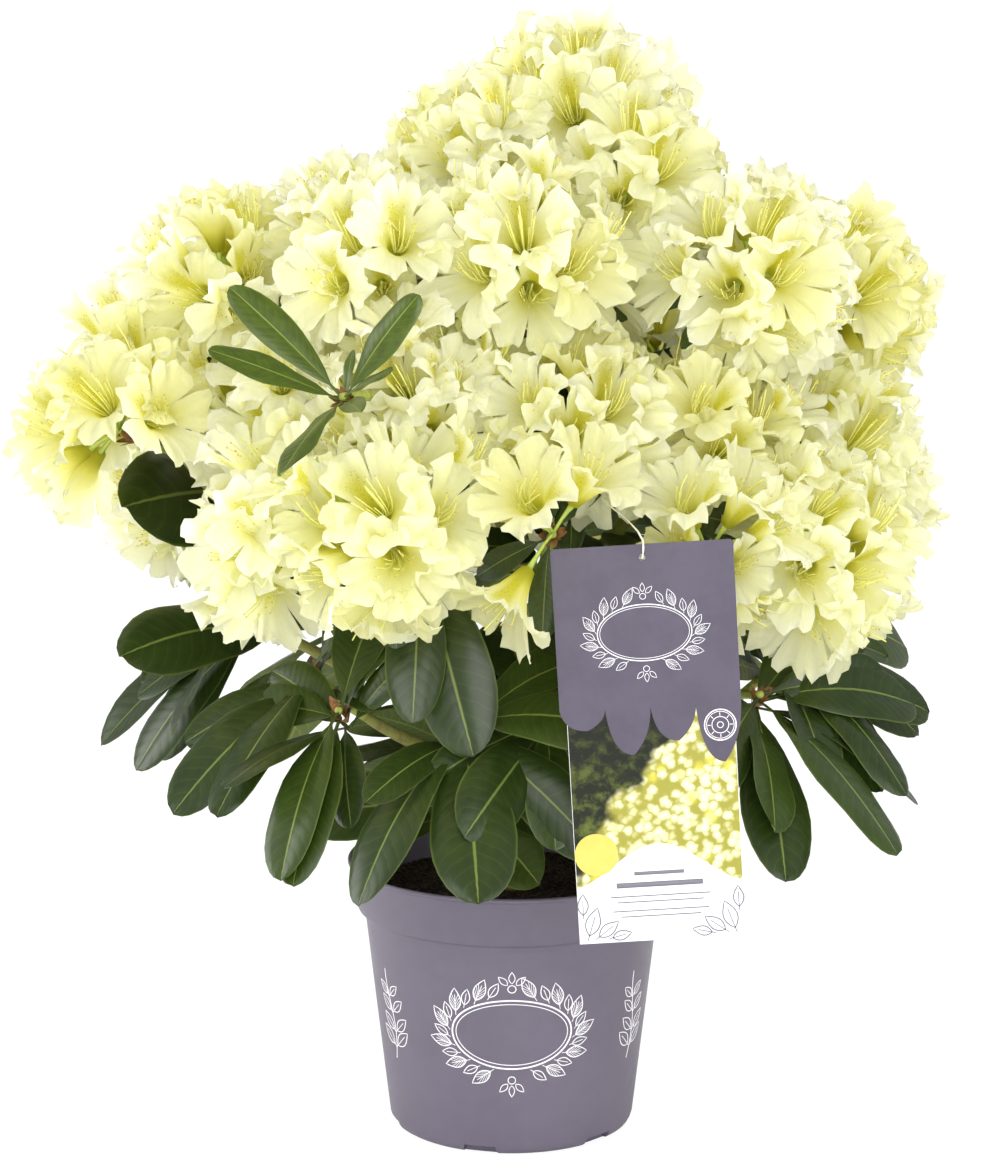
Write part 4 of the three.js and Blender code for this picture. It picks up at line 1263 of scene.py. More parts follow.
PRINT_HEIGHT = 86.0
PRINT_LINE = 1.1
print_sheaf = Sheaf("pot_print")
for bearing in (-90, 30, 150):
    wreath(print_sheaf, wrap_on_pot(bearing, PRINT_HEIGHT), 40.0, 24.0, 28, 16.0, PRINT_LINE)
    sprig_lines(print_sheaf, wrap_on_pot(bearing + 60, PRINT_HEIGHT), 62.0, 4, 17.0, PRINT_LINE)

# %% [markdown]
# ## The hang tag
# The tag is a stiff printed card with a second, coloured card over its head. That header is cut at
# its lower hem into four petals. Below it is a soft picture of a garden, then a white field with an
# arched top. All of these are flat shapes with a real thickness, filled from their outlines by
# Blender's flat curves, which also leave out the punched hole, and each lies on the one behind it.

# %% Flat cards
CARD = 0.9
CARD_MARGIN = 4.0  # the header is this much wider than the card, on either side
HOLE_RADIUS = 2.0
HOLE_INSET = 8.0
HEADER_HEIGHT = 98.0
HEADER_FRONT = 0.05 - CARD
FIELD_FRONT = -0.15
PETAL_DEPTH = 36.0
PETAL_DEPTHS = (0.35, 0.8, 0.6, 1.0)  # shares of the depth, from left to right
BACK = np.array([0.0, 1.0, 0.0])
tag_top = TAG["height"] / 2
half_card = TAG["width"] / 2 - CARD_MARGIN


def on_card(across, up, behind):
    """A point given across the tag, up it and behind its front face."""
    across, up, behind = (np.asarray(value)[..., None] for value in (across, up, behind))
    return tag_middle + across * tag_right + up * tag_up + behind * BACK


def flat_piece(name, outlines, front, thickness):
    """A flat card filled from its outlines. The first may hold the others as holes. Its map covers
    the whole tag, so a picture can be drawn on it."""
    curve = bpy.data.curves.new(name, "CURVE")
    curve.dimensions = "2D"
    curve.fill_mode = "BOTH"
    curve.extrude = thickness * MM / 2
    for outline in outlines:
        spline = curve.splines.new("POLY")
        spline.points.add(len(outline) - 1)
        flat = [value for x, y in outline for value in (x * MM, y * MM, 0.0, 1.0)]
        spline.points.foreach_set("co", flat)
        spline.use_cyclic_u = True
    source = new_object(name + "_outline", curve)
    mesh = finished_mesh(source)
    bpy.data.objects.remove(source)
    flat = np.empty(len(mesh.vertices) * 3, np.float32)
    mesh.vertices.foreach_get("co", flat)
    flat = flat.reshape(-1, 3) / MM
    placed = on_card(flat[:, 0], flat[:, 1], front + thickness / 2 - flat[:, 2])
    mesh.vertices.foreach_set("co", (placed * MM).astype(np.float32).ravel())
    mesh.update()
    layer = mesh.uv_layers.get("OFBake") or mesh.uv_layers.new(name="OFBake")
    corners = np.empty(len(mesh.loops), np.int32)
    mesh.loops.foreach_get("vertex_index", corners)
    places = flat[corners][:, :2] / TAG["height"] + 0.5
    layer.data.foreach_set("uv", places.astype(np.float32).ravel())
    smooth_by_angle(mesh, 20)
    return new_object(name, mesh)

# %% Outlines of the cards
def bezier(start, bend, end, steps=12):
    """Points from a start towards an end, drawn to a bend, without the last one."""
    share = np.linspace(0, 1, steps, endpoint=False)[:, None]
    start, bend, end = map(np.array, (start, bend, end))
    return (1 - share) ** 2 * start + 2 * share * (1 - share) * bend + share**2 * end


def header_outline():
    """A card with four petals at its hem and clipped corners at its top."""
    half, hem = TAG["width"] / 2, tag_top - HEADER_HEIGHT
    petal = TAG["width"] / len(PETAL_DEPTHS)
    line = []
    for i, depth in enumerate(PETAL_DEPTHS):
        left, deep = -half + i * petal, PETAL_DEPTH * depth
        low = (left + 0.6 * petal, hem - deep)
        line.append(bezier((left, hem), (left + 0.1 * petal, hem - deep), low))
        line.append(bezier(low, (left + petal, hem - 0.6 * deep), (left + petal, hem)))
    line.append(np.array([(half, hem), (half, tag_top - 1.5), (half - 1.5, tag_top)]))
    line.append(np.array([(-half + 1.5, tag_top), (-half, tag_top - 1.5)]))
    return np.concatenate(line)


def rectangle(half, low, high):
    """The corners of an upright rectangle round the tag's middle line."""
    return [(-half, low), (half, low), (half, high), (-half, high)]

# %% Cut the cards
INSET = 0.3
STICKER = {"radius": 13.0, "place": (-37.0, -66.0)}
hole = oval(HOLE_RADIUS, HOLE_RADIUS, (0, tag_top - HOLE_INSET), 28)
arch_across = np.linspace(half_card, -half_card, 40)
arch = [(x, 13 * math.cos(0.9 * math.pi * x / half_card) - 74) for x in arch_across]
white_outline = [*rectangle(half_card - INSET, INSET - tag_top, 0)[:2], *arch]
sticker_outline = oval(STICKER["radius"], STICKER["radius"], STICKER["place"], 56)
tag_card = flat_piece("tag_card", [rectangle(half_card, -tag_top, tag_top - 1), hole], 0.1, CARD - 0.1)
tag_picture = flat_piece("tag_picture", [rectangle(half_card - INSET, -100, 60)], 0.0, 0.1)
tag_field = flat_piece("tag_white_field", [white_outline], FIELD_FRONT, 0.15)
tag_header = flat_piece("tag_header", [header_outline(), hole], HEADER_FRONT, 0.85)
tag_sticker = flat_piece("tag_sticker", [sticker_outline], -0.4, 0.25)

# %% [markdown]
# ## The tag's print
# The header bears a small wreath and a seal of rings and spokes, in white. The white field bears grey
# leaves in its lower corners and six plain rules, two thick ones over four thin ones, as a tag has
# where its words stand. They are ribbons again, wrapped on a card in place of the pot.

# %% Print the tag
def wrap_on_card(front):
    """Wraps flat places on a card whose front face lies at a depth."""
    def wrap(across, up, lift):
        """The point on the card, or a little before it."""
        return on_card(across, up, front - np.full(np.shape(across), lift))
    return wrap


wrap_on_header, wrap_on_field = wrap_on_card(HEADER_FRONT), wrap_on_card(FIELD_FRONT)
tag_print = Sheaf("tag_print")
wreath(tag_print, wrap_on_header, 28.0, 17.0, 24, 11.0, 0.6, (-1.0, 68.0))
SEAL = np.array([41.0, 9.5])
SEAL_RINGS = ((9.4, 0.7), (8.2, 0.35), (5.0, 0.4), (1.8, 0.4))  # radius and width of line
for radius, width in SEAL_RINGS:
    ribbon(tag_print, oval(radius, radius, SEAL, 48), width, wrap_on_header, True)
for spoke in oval(1, 1, steps=8):
    ribbon(tag_print, SEAL + spoke * np.array([[5.6], [7.6]]), 0.4, wrap_on_header)
CORNER_LEAVES = ((44, -116, 1.9, 18), (38, -117, 2.5, 15), (47, -103, 1.6, 13), (30, -118, 2.9, 12))
RULES = ((-79, 15, 2.2), (-86, 26, 3.2), (-93, 30, 0.7), (-96.5, 26, 0.7), (-102, 29, 0.7), (-105.5, 24, 0.7))
GREY_INK = 0.06  # how proud it stands
tag_lines = Sheaf("tag_lines")
for side in (-1, 1):
    for x, y, bearing, length in CORNER_LEAVES:
        lean = bearing if side > 0 else math.pi - bearing
        outline, rib = leaf_lines(np.array([side * x, y]), lean, length)
        ribbon(tag_lines, outline, 0.75, wrap_on_field, True, GREY_INK)
        ribbon(tag_lines, rib, 0.55, wrap_on_field, False, GREY_INK)
for up, half, width in RULES:
    ribbon(tag_lines, [(-half, up), (0, up), (half, up)], width, wrap_on_field, False, GREY_INK)

# %% [markdown]
# ## The string
# A thin pale string comes out of a knot behind the tag, goes through the punched hole and over the
# card's top, and ends in a loop round a shoot. It follows the same points as its solid. A centripetal
# spline passes through them all without overshooting, and two plies wind round its line.

# %% The string's line
CORD_RADIUS = 0.7
PLY_RADIUS = 0.42
PLY_OFFSET = 0.26
PLY_TURN = 0.9  # radians from one point of the line to the next
KNOT_RADIUS = 3.0
SHOOT_RADIUS = 3.1
LOOP_ROOM = 1.2
LOOP_TURNS = range(-100, 189, 36)
HOOK_SHARE = 0.55


def centripetal(points, steps=8):
    """A Catmull-Rom line through points, spaced by the square root of the distances."""
    points = np.asarray(points, float)
    points = np.concatenate([[2 * points[0] - points[1]], points, [2 * points[-1] - points[-2]]])
    line = []
    for a, b, c, d in zip(points[:-3], points[1:-2], points[2:-1], points[3:]):
        t1 = np.linalg.norm(b - a) ** 0.5
        t2 = t1 + np.linalg.norm(c - b) ** 0.5
        t3 = t2 + np.linalg.norm(d - c) ** 0.5
        t = np.linspace(t1, t2, steps, endpoint=False)[:, None]
        ab = (t1 - t) / t1 * a + t / t1 * b
        bc = (t2 - t) / (t2 - t1) * b + (t - t1) / (t2 - t1) * c
        cd = (t3 - t) / (t3 - t2) * c + (t - t2) / (t3 - t2) * d
        abc = (t2 - t) / t2 * ab + t / t2 * bc
        bcd = (t3 - t) / (t3 - t1) * bc + (t - t1) / (t3 - t1) * cd
        line.append((t2 - t) / (t2 - t1) * abc + (t - t1) / (t2 - t1) * bcd)
    return np.concatenate(line + [points[-2:-1]])

# %% Tie the string
first_shoot = next(k for k, head in enumerate(heads) if head["mass"] == "front_right")
hanger = shoots[first_shoot]
hook = hanger.at(HOOK_SHARE)
level, other = across_axis(unit(hanger.at(HOOK_SHARE + 0.02) - hanger.at(HOOK_SHARE - 0.02)))
loop_radius = SHOOT_RADIUS + CORD_RADIUS + LOOP_ROOM
loop = []
for turn in map(math.radians, LOOP_TURNS):
    loop.append(hook + loop_radius * (math.cos(turn) * level + math.sin(turn) * other))
hole_up = tag_top - HOLE_INSET
through_hole = [on_card(0.0, hole_up, 4.0), on_card(0.0, hole_up, 0.5), on_card(0.0, hole_up, -2.5)]
over_top = through_hole[-1] + UP * (HOLE_INSET + 3)
string_line = centripetal([*through_hole, over_top, *loop])
string_sheaf = Sheaf("tag_string")
for ply in (0, math.pi):
    turn = ply + PLY_TURN * np.arange(len(string_line))
    offset = PLY_OFFSET * np.stack([np.cos(turn), np.sin(turn), np.zeros(len(turn))], axis=1)
    add_tube(string_sheaf, string_line + offset, PLY_RADIUS, 8)
knot = on_card(0.0, hole_up, CARD + 0.3 + KNOT_RADIUS)
knot_turn = np.linspace(0, 4 * np.pi, 60)
knot_line = np.stack([
    knot[0] + 1.7 * np.sin(knot_turn) + 0.5 * np.sin(3 * knot_turn),
    knot[1] + 1.2 * np.cos(1.5 * knot_turn),
    knot[2] + 1.9 * np.cos(knot_turn) - 0.4 * np.cos(3 * knot_turn),
], axis=1)
add_tube(string_sheaf, knot_line, 0.75, 6)
print("string:", round(float(np.linalg.norm(np.diff(string_line, axis=0), axis=1).sum())), "mm")

# %% [markdown]
# # Finishes
# A finish is built from effects and a shader. An effect, such as the veins of a leaf or the scuffs of
# plastic, is a node group that gives out masks and heights only. The shader stays in the material,
# and what is the same all over the surface is set on the shader's own sockets. The small class below
# adds nodes and joins them, where a value may be a number or the output of another node.

# %% Wiring for nodes
class Wiring:
    """Adds nodes to a tree. Every value may be a number or the output of another node."""

    def __init__(self, tree):
        self.tree = tree

    def feed(self, socket, value):
        if isinstance(value, bpy.types.NodeSocket):
            self.tree.links.new(value, socket)
        else:
            socket.default_value = value

    def node(self, kind, values=None, **settings):
        made = self.tree.nodes.new(kind)
        for key, value in settings.items():
            setattr(made, key, value)
        for name, value in (values or {}).items():
            self.feed(made.inputs[name], value)
        return made

    def math(self, operation, *values):
        return self.node("ShaderNodeMath", dict(enumerate(values)), operation=operation).outputs[0]

    def times(self, first, second):
        return self.math("MULTIPLY", first, second)

    def plus(self, first, second):
        return self.math("ADD", first, second)

    def minus(self, first, second):
        return self.math("SUBTRACT", first, second)

    def soft(self, value, low, high, start=0.0, end=1.0):
        """A soft step: start below low, end above high."""
        values = {"Value": value, "From Min": low, "From Max": high, "To Min": start, "To Max": end}
        made = self.node("ShaderNodeMapRange", values, interpolation_type="SMOOTHSTEP")
        return made.outputs["Result"]

    def fall(self, value, low, high):
        """A soft step down: 1 below low, 0 above high."""
        return self.soft(value, low, high, 1.0, 0.0)

    def mix(self, factor, first, second):
        """A colour between two."""
        values = {0: factor, 6: first, 7: second}
        return self.node("ShaderNodeMix", values, data_type="RGBA").outputs[2]

    def noise(self, vector, scale, detail=3.0, roughness=0.5):
        values = {"Vector": vector, "Scale": scale, "Detail": detail, "Roughness": roughness}
        return self.node("ShaderNodeTexNoise", values).outputs["Fac"]

    def cells(self, vector, scale, randomness=1.0):
        """The distance to the nearest of many strewn points."""
        values = {"Vector": vector, "Scale": scale, "Randomness": randomness}
        return self.node("ShaderNodeTexVoronoi", values).outputs["Distance"]

    def vector(self, x, y, z=0.0):
        return self.node("ShaderNodeCombineXYZ", {"X": x, "Y": y, "Z": z}).outputs[0]

    def parts(self, vector):
        return self.node("ShaderNodeSeparateXYZ", {"Vector": vector}).outputs

    def map_place(self):
        """The two numbers of the map that the petals and leaves are laid on."""
        return self.parts(self.node("ShaderNodeUVMap", uv_map="OFBake").outputs[0])[:2]

    def place(self):
        """The place in the air, measured from the origin of the piece."""
        return self.node("ShaderNodeTexCoord").outputs["Object"]

    def drawn_out(self, factor):
        """The same place with its height multiplied, which draws a pattern out or presses it flat."""
        across, deep, up = self.parts(self.place())
        return self.vector(across, deep, self.times(up, factor))

# %% Groups and materials
def effect(name, inputs, outputs, build):
    """A node group. build(wiring, inputs) returns the output sockets in order."""
    tree = bpy.data.node_groups.new(name, "ShaderNodeTree")
    for label, value in inputs.items():
        socket = tree.interface.new_socket(label, in_out="INPUT", socket_type="NodeSocketFloat")
        socket.default_value = value
    for label in outputs:
        tree.interface.new_socket(label, in_out="OUTPUT", socket_type="NodeSocketFloat")
    wiring = Wiring(tree)
    entry = tree.nodes.new("NodeGroupInput")
    leave = tree.nodes.new("NodeGroupOutput")
    made = build(wiring, {label: entry.outputs[label] for label in inputs})
    for socket, value in zip(leave.inputs, made):
        tree.links.new(value, socket)
    return tree


def use(wiring, group, **values):
    """Places a node group with its own values, and returns its outputs."""
    made = wiring.node("ShaderNodeGroup", node_tree=group)
    for name, value in values.items():
        wiring.feed(made.inputs[name.replace("_", " ").title()], value)
    return made.outputs


def colour(red, green, blue):
    """A colour as painters' tables give it, 0 to 255, turned into light."""
    shares = [value / 255 for value in (red, green, blue)]
    return (*[s / 12.92 if s <= 0.04045 else ((s + 0.055) / 1.055) ** 2.4 for s in shares], 1.0)


def new_finish(name, roughness=0.5, **sockets):
    """An empty material: returns it with its wiring and its Principled shader."""
    material = bpy.data.materials.new(name)
    material.use_nodes = True
    shader = material.node_tree.nodes["Principled BSDF"]
    shader.inputs["Roughness"].default_value = roughness
    for label, value in sockets.items():
        shader.inputs[label.replace("_", " ").title().replace("Ior", "IOR")].default_value = value
    return material, Wiring(material.node_tree), shader


def add_bump(wiring, shader, height, strength, distance):
    """Lets a height tilt the shader's normal, with the distance in millimetres."""
    values = {"Height": height, "Strength": strength, "Distance": distance * MM}
    normal = wiring.node("ShaderNodeBump", values).outputs[0]
    wiring.feed(shader.inputs["Normal"], normal)
    return normal


def blend_shaders(material, wiring, share, first, second):
    """Puts a mixture of two shaders on the material's output."""
    blend = wiring.node("ShaderNodeMixShader", {0: share, 1: first.outputs[0], 2: second.outputs[0]})
    wiring.feed(material.node_tree.nodes["Material Output"].inputs[0], blend.outputs[0])

# %% [markdown]
# ## Effects that several finishes share
# Clouds break up a colour that would otherwise be too even. Scuffs are fine bright scratches that lie
# mostly one way, as a pot gets them on a bench. Grain is the tiny relief of moulded plastic, board or
# fibre. Each is a group with its own scale and amount.

# %% Shared effects
def build_clouds(w, given):
    """Soft patches, broad ones with finer ones in them."""
    broad = w.noise(w.place(), given["Scale"], 4.0, 0.6)
    fine = w.noise(w.place(), w.times(given["Scale"], 5.3), 2.0)
    return [w.soft(w.plus(w.times(broad, 0.7), w.times(fine, 0.3)), 0.36, 0.64)]


def build_scuffs(w, given):
    """Short level scratches that come in patches."""
    streaks = w.noise(w.drawn_out(9.0), given["Scale"], 6.0, 0.7)
    patches = w.noise(w.place(), w.times(given["Scale"], 0.12), 2.0)
    scratches = w.times(w.soft(streaks, 0.62, 0.7), w.soft(patches, 0.5, 0.65))
    return [w.times(scratches, given["Amount"])]


def build_grain(w, given):
    """A pebbled relief of small cells."""
    return [w.cells(w.place(), given["Scale"])]


clouds = effect("clouds", {"Scale": 20.0}, ["Mask"], build_clouds)
scuffs = effect("scuffs", {"Scale": 60.0, "Amount": 1.0}, ["Mask"], build_scuffs)
grain = effect("grain", {"Scale": 900.0}, ["Height"], build_grain)
print("effects:", [tree.name for tree in bpy.data.node_groups])

# %% [markdown]
# ## Petals
# A petal is cream with a yellow throat that turns olive at its heart, and the heart is darker still
# with painted shade deep in the tube. The uppermost lobe has a deeper flare with olive flecks. Towards
# the rim it is nearly white. Fine veins fan out along it and the tissue between them is crinkled.
# Petals are thin enough for light to come through, so a good part of the shader is Translucent, which
# lets the blossoms in the shade glow yellow, not grey.

# %% Marks of the flower
VEINS = 55


def build_flower_marks(w, _):
    """The marks of a petal: masks for its zones, and the height of its crinkles."""
    turn, along = w.map_place()
    wobble = w.noise(w.vector(w.times(turn, 30.0), w.times(along, 5.0)), 1.0)
    uneven = w.plus(along, w.times(w.minus(wobble, 0.5), 0.14))
    throat = w.fall(uneven, 0.08, 0.68)
    # painted shade: this mask darkens the deep tube, partly its own olive green and partly shade
    heart_and_shade = w.fall(along, 0.1, 0.32)
    upper_lobe = w.fall(w.math("ABSOLUTE", w.minus(turn, 0.5)), 0.02, 0.1)
    flare = w.times(upper_lobe, w.times(w.soft(along, 0.1, 0.3), w.fall(along, 0.5, 0.86)))
    spots = w.cells(w.vector(w.times(turn, 118.0), w.times(along, 30.0)), 1.0, 0.9)
    flecks = w.times(w.fall(spots, 0.16, 0.3), w.soft(flare, 0.35, 0.7))
    rim = w.soft(along, 0.72, 1.0)
    fan = w.math("SINE", w.plus(w.times(turn, 2 * math.pi * VEINS), w.times(wobble, 9.0)))
    veins = w.times(w.soft(fan, 0.2, 1.0), w.soft(along, 0.15, 0.45))
    crinkle = w.noise(w.vector(w.times(turn, 90.0), w.times(along, 16.0)), 1.0, 3.0, 0.62)
    return [throat, heart_and_shade, flare, flecks, rim, veins, crinkle]


FLOWER_MARKS = ["Throat", "Heart And Shade", "Flare", "Flecks", "Rim", "Veins", "Height"]
flower_marks = effect("flower_marks", {}, FLOWER_MARKS, build_flower_marks)

# %% Petal finishes
def petal_finish(name, middle, rim, throat):
    """A thin petal from three colours, partly lit from behind."""
    material, w, shader = new_finish(name, 0.55, specular_ior_level=0.25)
    marks = use(w, flower_marks)
    base = middle
    for mark, amount, tone in (
        ("Veins", 0.08, throat),
        ("Rim", 0.85, rim),
        ("Throat", 0.92, throat),
        ("Flare", 0.85, colour(214, 208, 52)),
        # the olive heart, darkened with painted shade deep in the tube
        ("Heart And Shade", 0.55, colour(150, 152, 38)),
        ("Flecks", 0.7, colour(128, 120, 40)),
    ):
        base = w.mix(w.times(marks[mark], amount), base, tone)
    w.feed(shader.inputs["Base Color"], base)
    normal = add_bump(w, shader, marks["Height"], 0.7, 0.9)
    glow = w.node("ShaderNodeBsdfTranslucent", {"Color": base, "Normal": normal})
    blend_shaders(material, w, 0.7, shader, glow)
    return material


petal_finishes = [
    petal_finish("petal_cream", colour(249, 249, 214), colour(253, 253, 230), colour(240, 234, 66)),
    petal_finish("petal_pale", colour(251, 251, 222), colour(254, 254, 238), colour(244, 238, 82)),
    petal_finish("petal_lemon", colour(247, 246, 200), colour(252, 252, 220), colour(236, 228, 52)),
    petal_finish("petal_ivory", colour(252, 252, 228), colour(254, 254, 242), colour(245, 240, 88)),
]

# %% [markdown]
# ## Threads, anthers and stalks
# Filaments are pale yellow, anthers are dry and ochre, and flower stalks are a fresh
# yellow-green with a blush of clouds. They are too thin for any finer pattern.

# %% Finishes of the small parts
def clouded_finish(name, first, second, scale, roughness, bump=0.0, **sockets):
    """A matt or satin finish whose colour wanders between two."""
    material, w, shader = new_finish(name, roughness, **sockets)
    mask = use(w, clouds, scale=scale)["Mask"]
    w.feed(shader.inputs["Base Color"], w.mix(mask, first, second))
    if bump:
        add_bump(w, shader, use(w, grain, scale=scale * 8)["Height"], 0.5, bump)
    return material


thread_finish = clouded_finish("filament_yellow", colour(238, 236, 150), colour(226, 226, 120), 60.0, 0.5)
anther_finish = clouded_finish("anther_ochre", colour(192, 164, 92), colour(220, 200, 126), 300.0, 0.8)
stalk_finish = clouded_finish("stalk_green", colour(176, 192, 88), colour(150, 172, 70), 90.0, 0.5)
scale_finish = clouded_finish("dry_scale", colour(150, 104, 54), colour(92, 62, 32), 160.0, 0.75, 0.1)

# %% [markdown]
# ## Leaves
# The upper skin is dark, waxy and glossy, with a pale midrib in a groove and faint side veins that
# curve towards the tip. The skin bulges a little between them. Its green wanders in soft patches,
# partly a random tone and partly a painted sheen of lighter green. The lower skin is pale, matt and
# olive, and its midrib stands out. All of this is drawn on the map: the left half of it is the upper
# skin and the right half the lower one.

# %% Marks of the leaf
def build_leaf_marks(w, given):
    """The marks of a leaf: masks for its veins, rim and lower skin, patches of random tone and painted
    sheen, and the height of its bulges.
    """
    across, along = w.map_place()
    underside = w.math("GREATER_THAN", across, 0.5)
    own_half = w.math("FRACT", w.times(across, 1.9999))
    side = w.math("ABSOLUTE", w.minus(w.times(own_half, 2.0), 1.0))
    midrib = w.fall(side, 0.014, 0.052)
    # this noise bends the side veins, and gives patches of random tone and painted sheen
    wander_and_sheen = w.noise(w.vector(w.times(across, 9.0), w.times(along, 9.0)), 1.0, 2.0)
    rise = w.times(w.math("POWER", side, 1.35), -1.9)
    phase = w.plus(w.plus(w.times(along, given["Vein Count"]), rise), w.times(wander_and_sheen, 0.5))
    from_line = w.math("ABSOLUTE", w.minus(w.math("FRACT", phase), 0.5))
    side_veins = w.times(w.fall(from_line, 0.0, 0.12), w.fall(side, 0.75, 0.98))
    rim = w.soft(side, 0.93, 1.0)
    bulge = w.times(w.soft(from_line, 0.0, 0.5), w.fall(side, 0.7, 1.0))
    height = w.minus(bulge, w.times(midrib, 1.2))
    return [midrib, side_veins, rim, underside, wander_and_sheen, height]


LEAF_MARKS = ["Midrib", "Side Veins", "Rim", "Underside", "Wander And Sheen", "Height"]
leaf_marks = effect("leaf_marks", {"Vein Count": 15.0}, LEAF_MARKS, build_leaf_marks)

# %% Leaf finishes
def leaf_finish(name, skin, deep, midrib, under, roughness):
    """A waxy upper skin that wanders between two greens in patches of random tone and painted sheen,
    and a matt lower one.
    """
    material, w, shader = new_finish(name, roughness, coat_roughness=0.24, specular_ior_level=0.26)
    marks = use(w, leaf_marks)
    # painted sheen: the lighter patches stand in partly for highlights, the rest is random tone
    top = w.mix(marks["Wander And Sheen"], skin, deep)
    for mark, amount in (("Side Veins", 0.045), ("Rim", 0.22), ("Midrib", 0.5)):
        top = w.mix(w.times(marks[mark], amount), top, midrib)
    below = under
    for mark, amount in (("Side Veins", 0.4), ("Midrib", 0.9)):
        below = w.mix(w.times(marks[mark], amount), below, midrib)
    w.feed(shader.inputs["Base Color"], w.mix(marks["Underside"], top, below))
    w.feed(shader.inputs["Roughness"], w.soft(marks["Underside"], 0.0, 1.0, roughness, 0.75))
    w.feed(shader.inputs["Coat Weight"], w.soft(marks["Underside"], 0.0, 1.0, 0.32, 0.0))
    add_bump(w, shader, marks["Height"], 0.35, 0.3)
    return material


leaf_finishes = {}
# skin and deep are the lighter and darker ends of the patches of tone and painted sheen
for name, skin, deep, midrib, under, roughness in (
    ("dark", (43, 60, 17), (25, 37, 10), (132, 148, 70), (92, 106, 56), 0.36),
    ("mid", (53, 71, 19), (35, 49, 12), (142, 156, 76), (104, 118, 64), 0.38),
    ("young", (76, 94, 5), (42, 56, 3), (150, 168, 72), (120, 140, 52), 0.38),
):
    tones = [colour(*tone) for tone in (skin, deep, midrib, under)]
    leaf_finishes[name] = leaf_finish(f"leaf_{name}", *tones, roughness)

# %% [markdown]
# ## Bark and green wood
# Old wood is grey-brown with shallow cracks that run along it. Young wood is yellow-green. The
# mixture follows the height above the soil, with clouds at the border, so a bough turns green on its
# way up, as it does on the plant.

# %% Bark and twigs
def build_bark_marks(w, given):
    """The marks of bark: cracks, how green the wood is at its height, and the height of its plates."""
    plates = w.noise(w.drawn_out(0.22), given["Scale"], 5.0, 0.65)
    cracks = w.fall(plates, 0.4, 0.5)
    age = w.plus(w.parts(w.place())[2], w.times(w.noise(w.place(), 26.0), 0.12))
    return [cracks, w.soft(age, 0.25, 0.4), plates]


bark_marks = effect("bark_marks", {"Scale": 260.0}, ["Cracks", "Young", "Height"], build_bark_marks)
bark_finish, w, shader = new_finish("bark", 0.8, specular_ior_level=0.3)
marks = use(w, bark_marks)
old_wood = w.mix(w.times(marks["Cracks"], 0.7), colour(122, 104, 70), colour(70, 56, 38))
green_wood = w.mix(w.times(marks["Cracks"], 0.25), colour(138, 142, 70), colour(104, 92, 48))
w.feed(shader.inputs["Base Color"], w.mix(marks["Young"], old_wood, green_wood))
w.feed(shader.inputs["Roughness"], w.soft(marks["Young"], 0.0, 1.0, 0.88, 0.6))
add_bump(w, shader, marks["Height"], 0.8, 0.9)
twig_finish, w, shader = new_finish("green_twig", 0.55, specular_ior_level=0.4)
marks = use(w, bark_marks, scale=420.0)
twig_colour = w.mix(use(w, clouds, scale=45.0)["Mask"], colour(164, 176, 82), colour(138, 148, 62))
twig_colour = w.mix(w.times(marks["Cracks"], 0.3), twig_colour, colour(120, 98, 52))
w.feed(shader.inputs["Base Color"], twig_colour)
add_bump(w, shader, marks["Height"], 0.5, 0.3)

# %% [markdown]
# ## Peat, plastic, card and string
# Peat is nearly black with a brown bloom where it has dried. The pot is satin plastic in a purplish
# grey: it has clouds a shade apart, a fine grain, and scuffs that are lighter and duller. White ink is
# duller than the plastic below it. The cards have a thin print coat with the weave of board under it.
# The picture on the tag is a shady hedge behind a bed of small pale yellow blooms: patches of noise
# and strewn cells, cut by a slanting edge.

# %% Peat and plastic
peat_finish, w, shader = new_finish("peat", 0.95, specular_ior_level=0.2)
damp = use(w, clouds, scale=45.0)["Mask"]
speck = use(w, grain, scale=420.0)["Height"]
peat_colour = w.mix(damp, colour(24, 18, 16), colour(42, 32, 27))
w.feed(shader.inputs["Base Color"], w.mix(w.soft(speck, 0.5, 0.8), peat_colour, colour(72, 56, 44)))
add_bump(w, shader, w.noise(w.place(), 500.0, 5.0, 0.7), 1.0, 1.6)
crumb_finish = clouded_finish("peat_crumb", colour(28, 21, 18), colour(70, 52, 40), 120.0, 0.9, 0.3)

pot_finish, w, shader = new_finish("pot_plastic", 0.42, specular_ior_level=0.45)
cloud = use(w, clouds, scale=16.0)["Mask"]
scuff = use(w, scuffs, scale=120.0, amount=0.8)["Mask"]
body = w.mix(cloud, colour(91, 84, 99), colour(96, 89, 104))
w.feed(shader.inputs["Base Color"], w.mix(w.times(scuff, 0.22), body, colour(142, 136, 150)))
w.feed(shader.inputs["Roughness"], w.plus(w.soft(cloud, 0.0, 1.0, 0.4, 0.48), w.times(scuff, 0.2)))
add_bump(w, shader, use(w, grain, scale=1100.0)["Height"], 0.25, 0.12)

# %% Ink and board
def ink_finish(name, tone):
    """Dull ink that covers a little unevenly."""
    material, w, shader = new_finish(name, 0.5)
    thin = w.times(use(w, clouds, scale=120.0)["Mask"], 0.4)
    duller = [value - 14 for value in tone]
    w.feed(shader.inputs["Base Color"], w.mix(thin, colour(*tone), colour(*duller)))
    return material


def card_finish(name, first, second):
    """Printed board with a thin coat over a fine weave."""
    material, w, shader = new_finish(name, 0.45, coat_roughness=0.25, specular_ior_level=0.25)
    mask = use(w, clouds, scale=35.0)["Mask"]
    w.feed(shader.inputs["Base Color"], w.mix(mask, first, second))
    w.feed(shader.inputs["Coat Weight"], w.soft(mask, 0.0, 1.0, 0.05, 0.1))
    add_bump(w, shader, use(w, grain, scale=1500.0)["Height"], 0.2, 0.08)
    return material


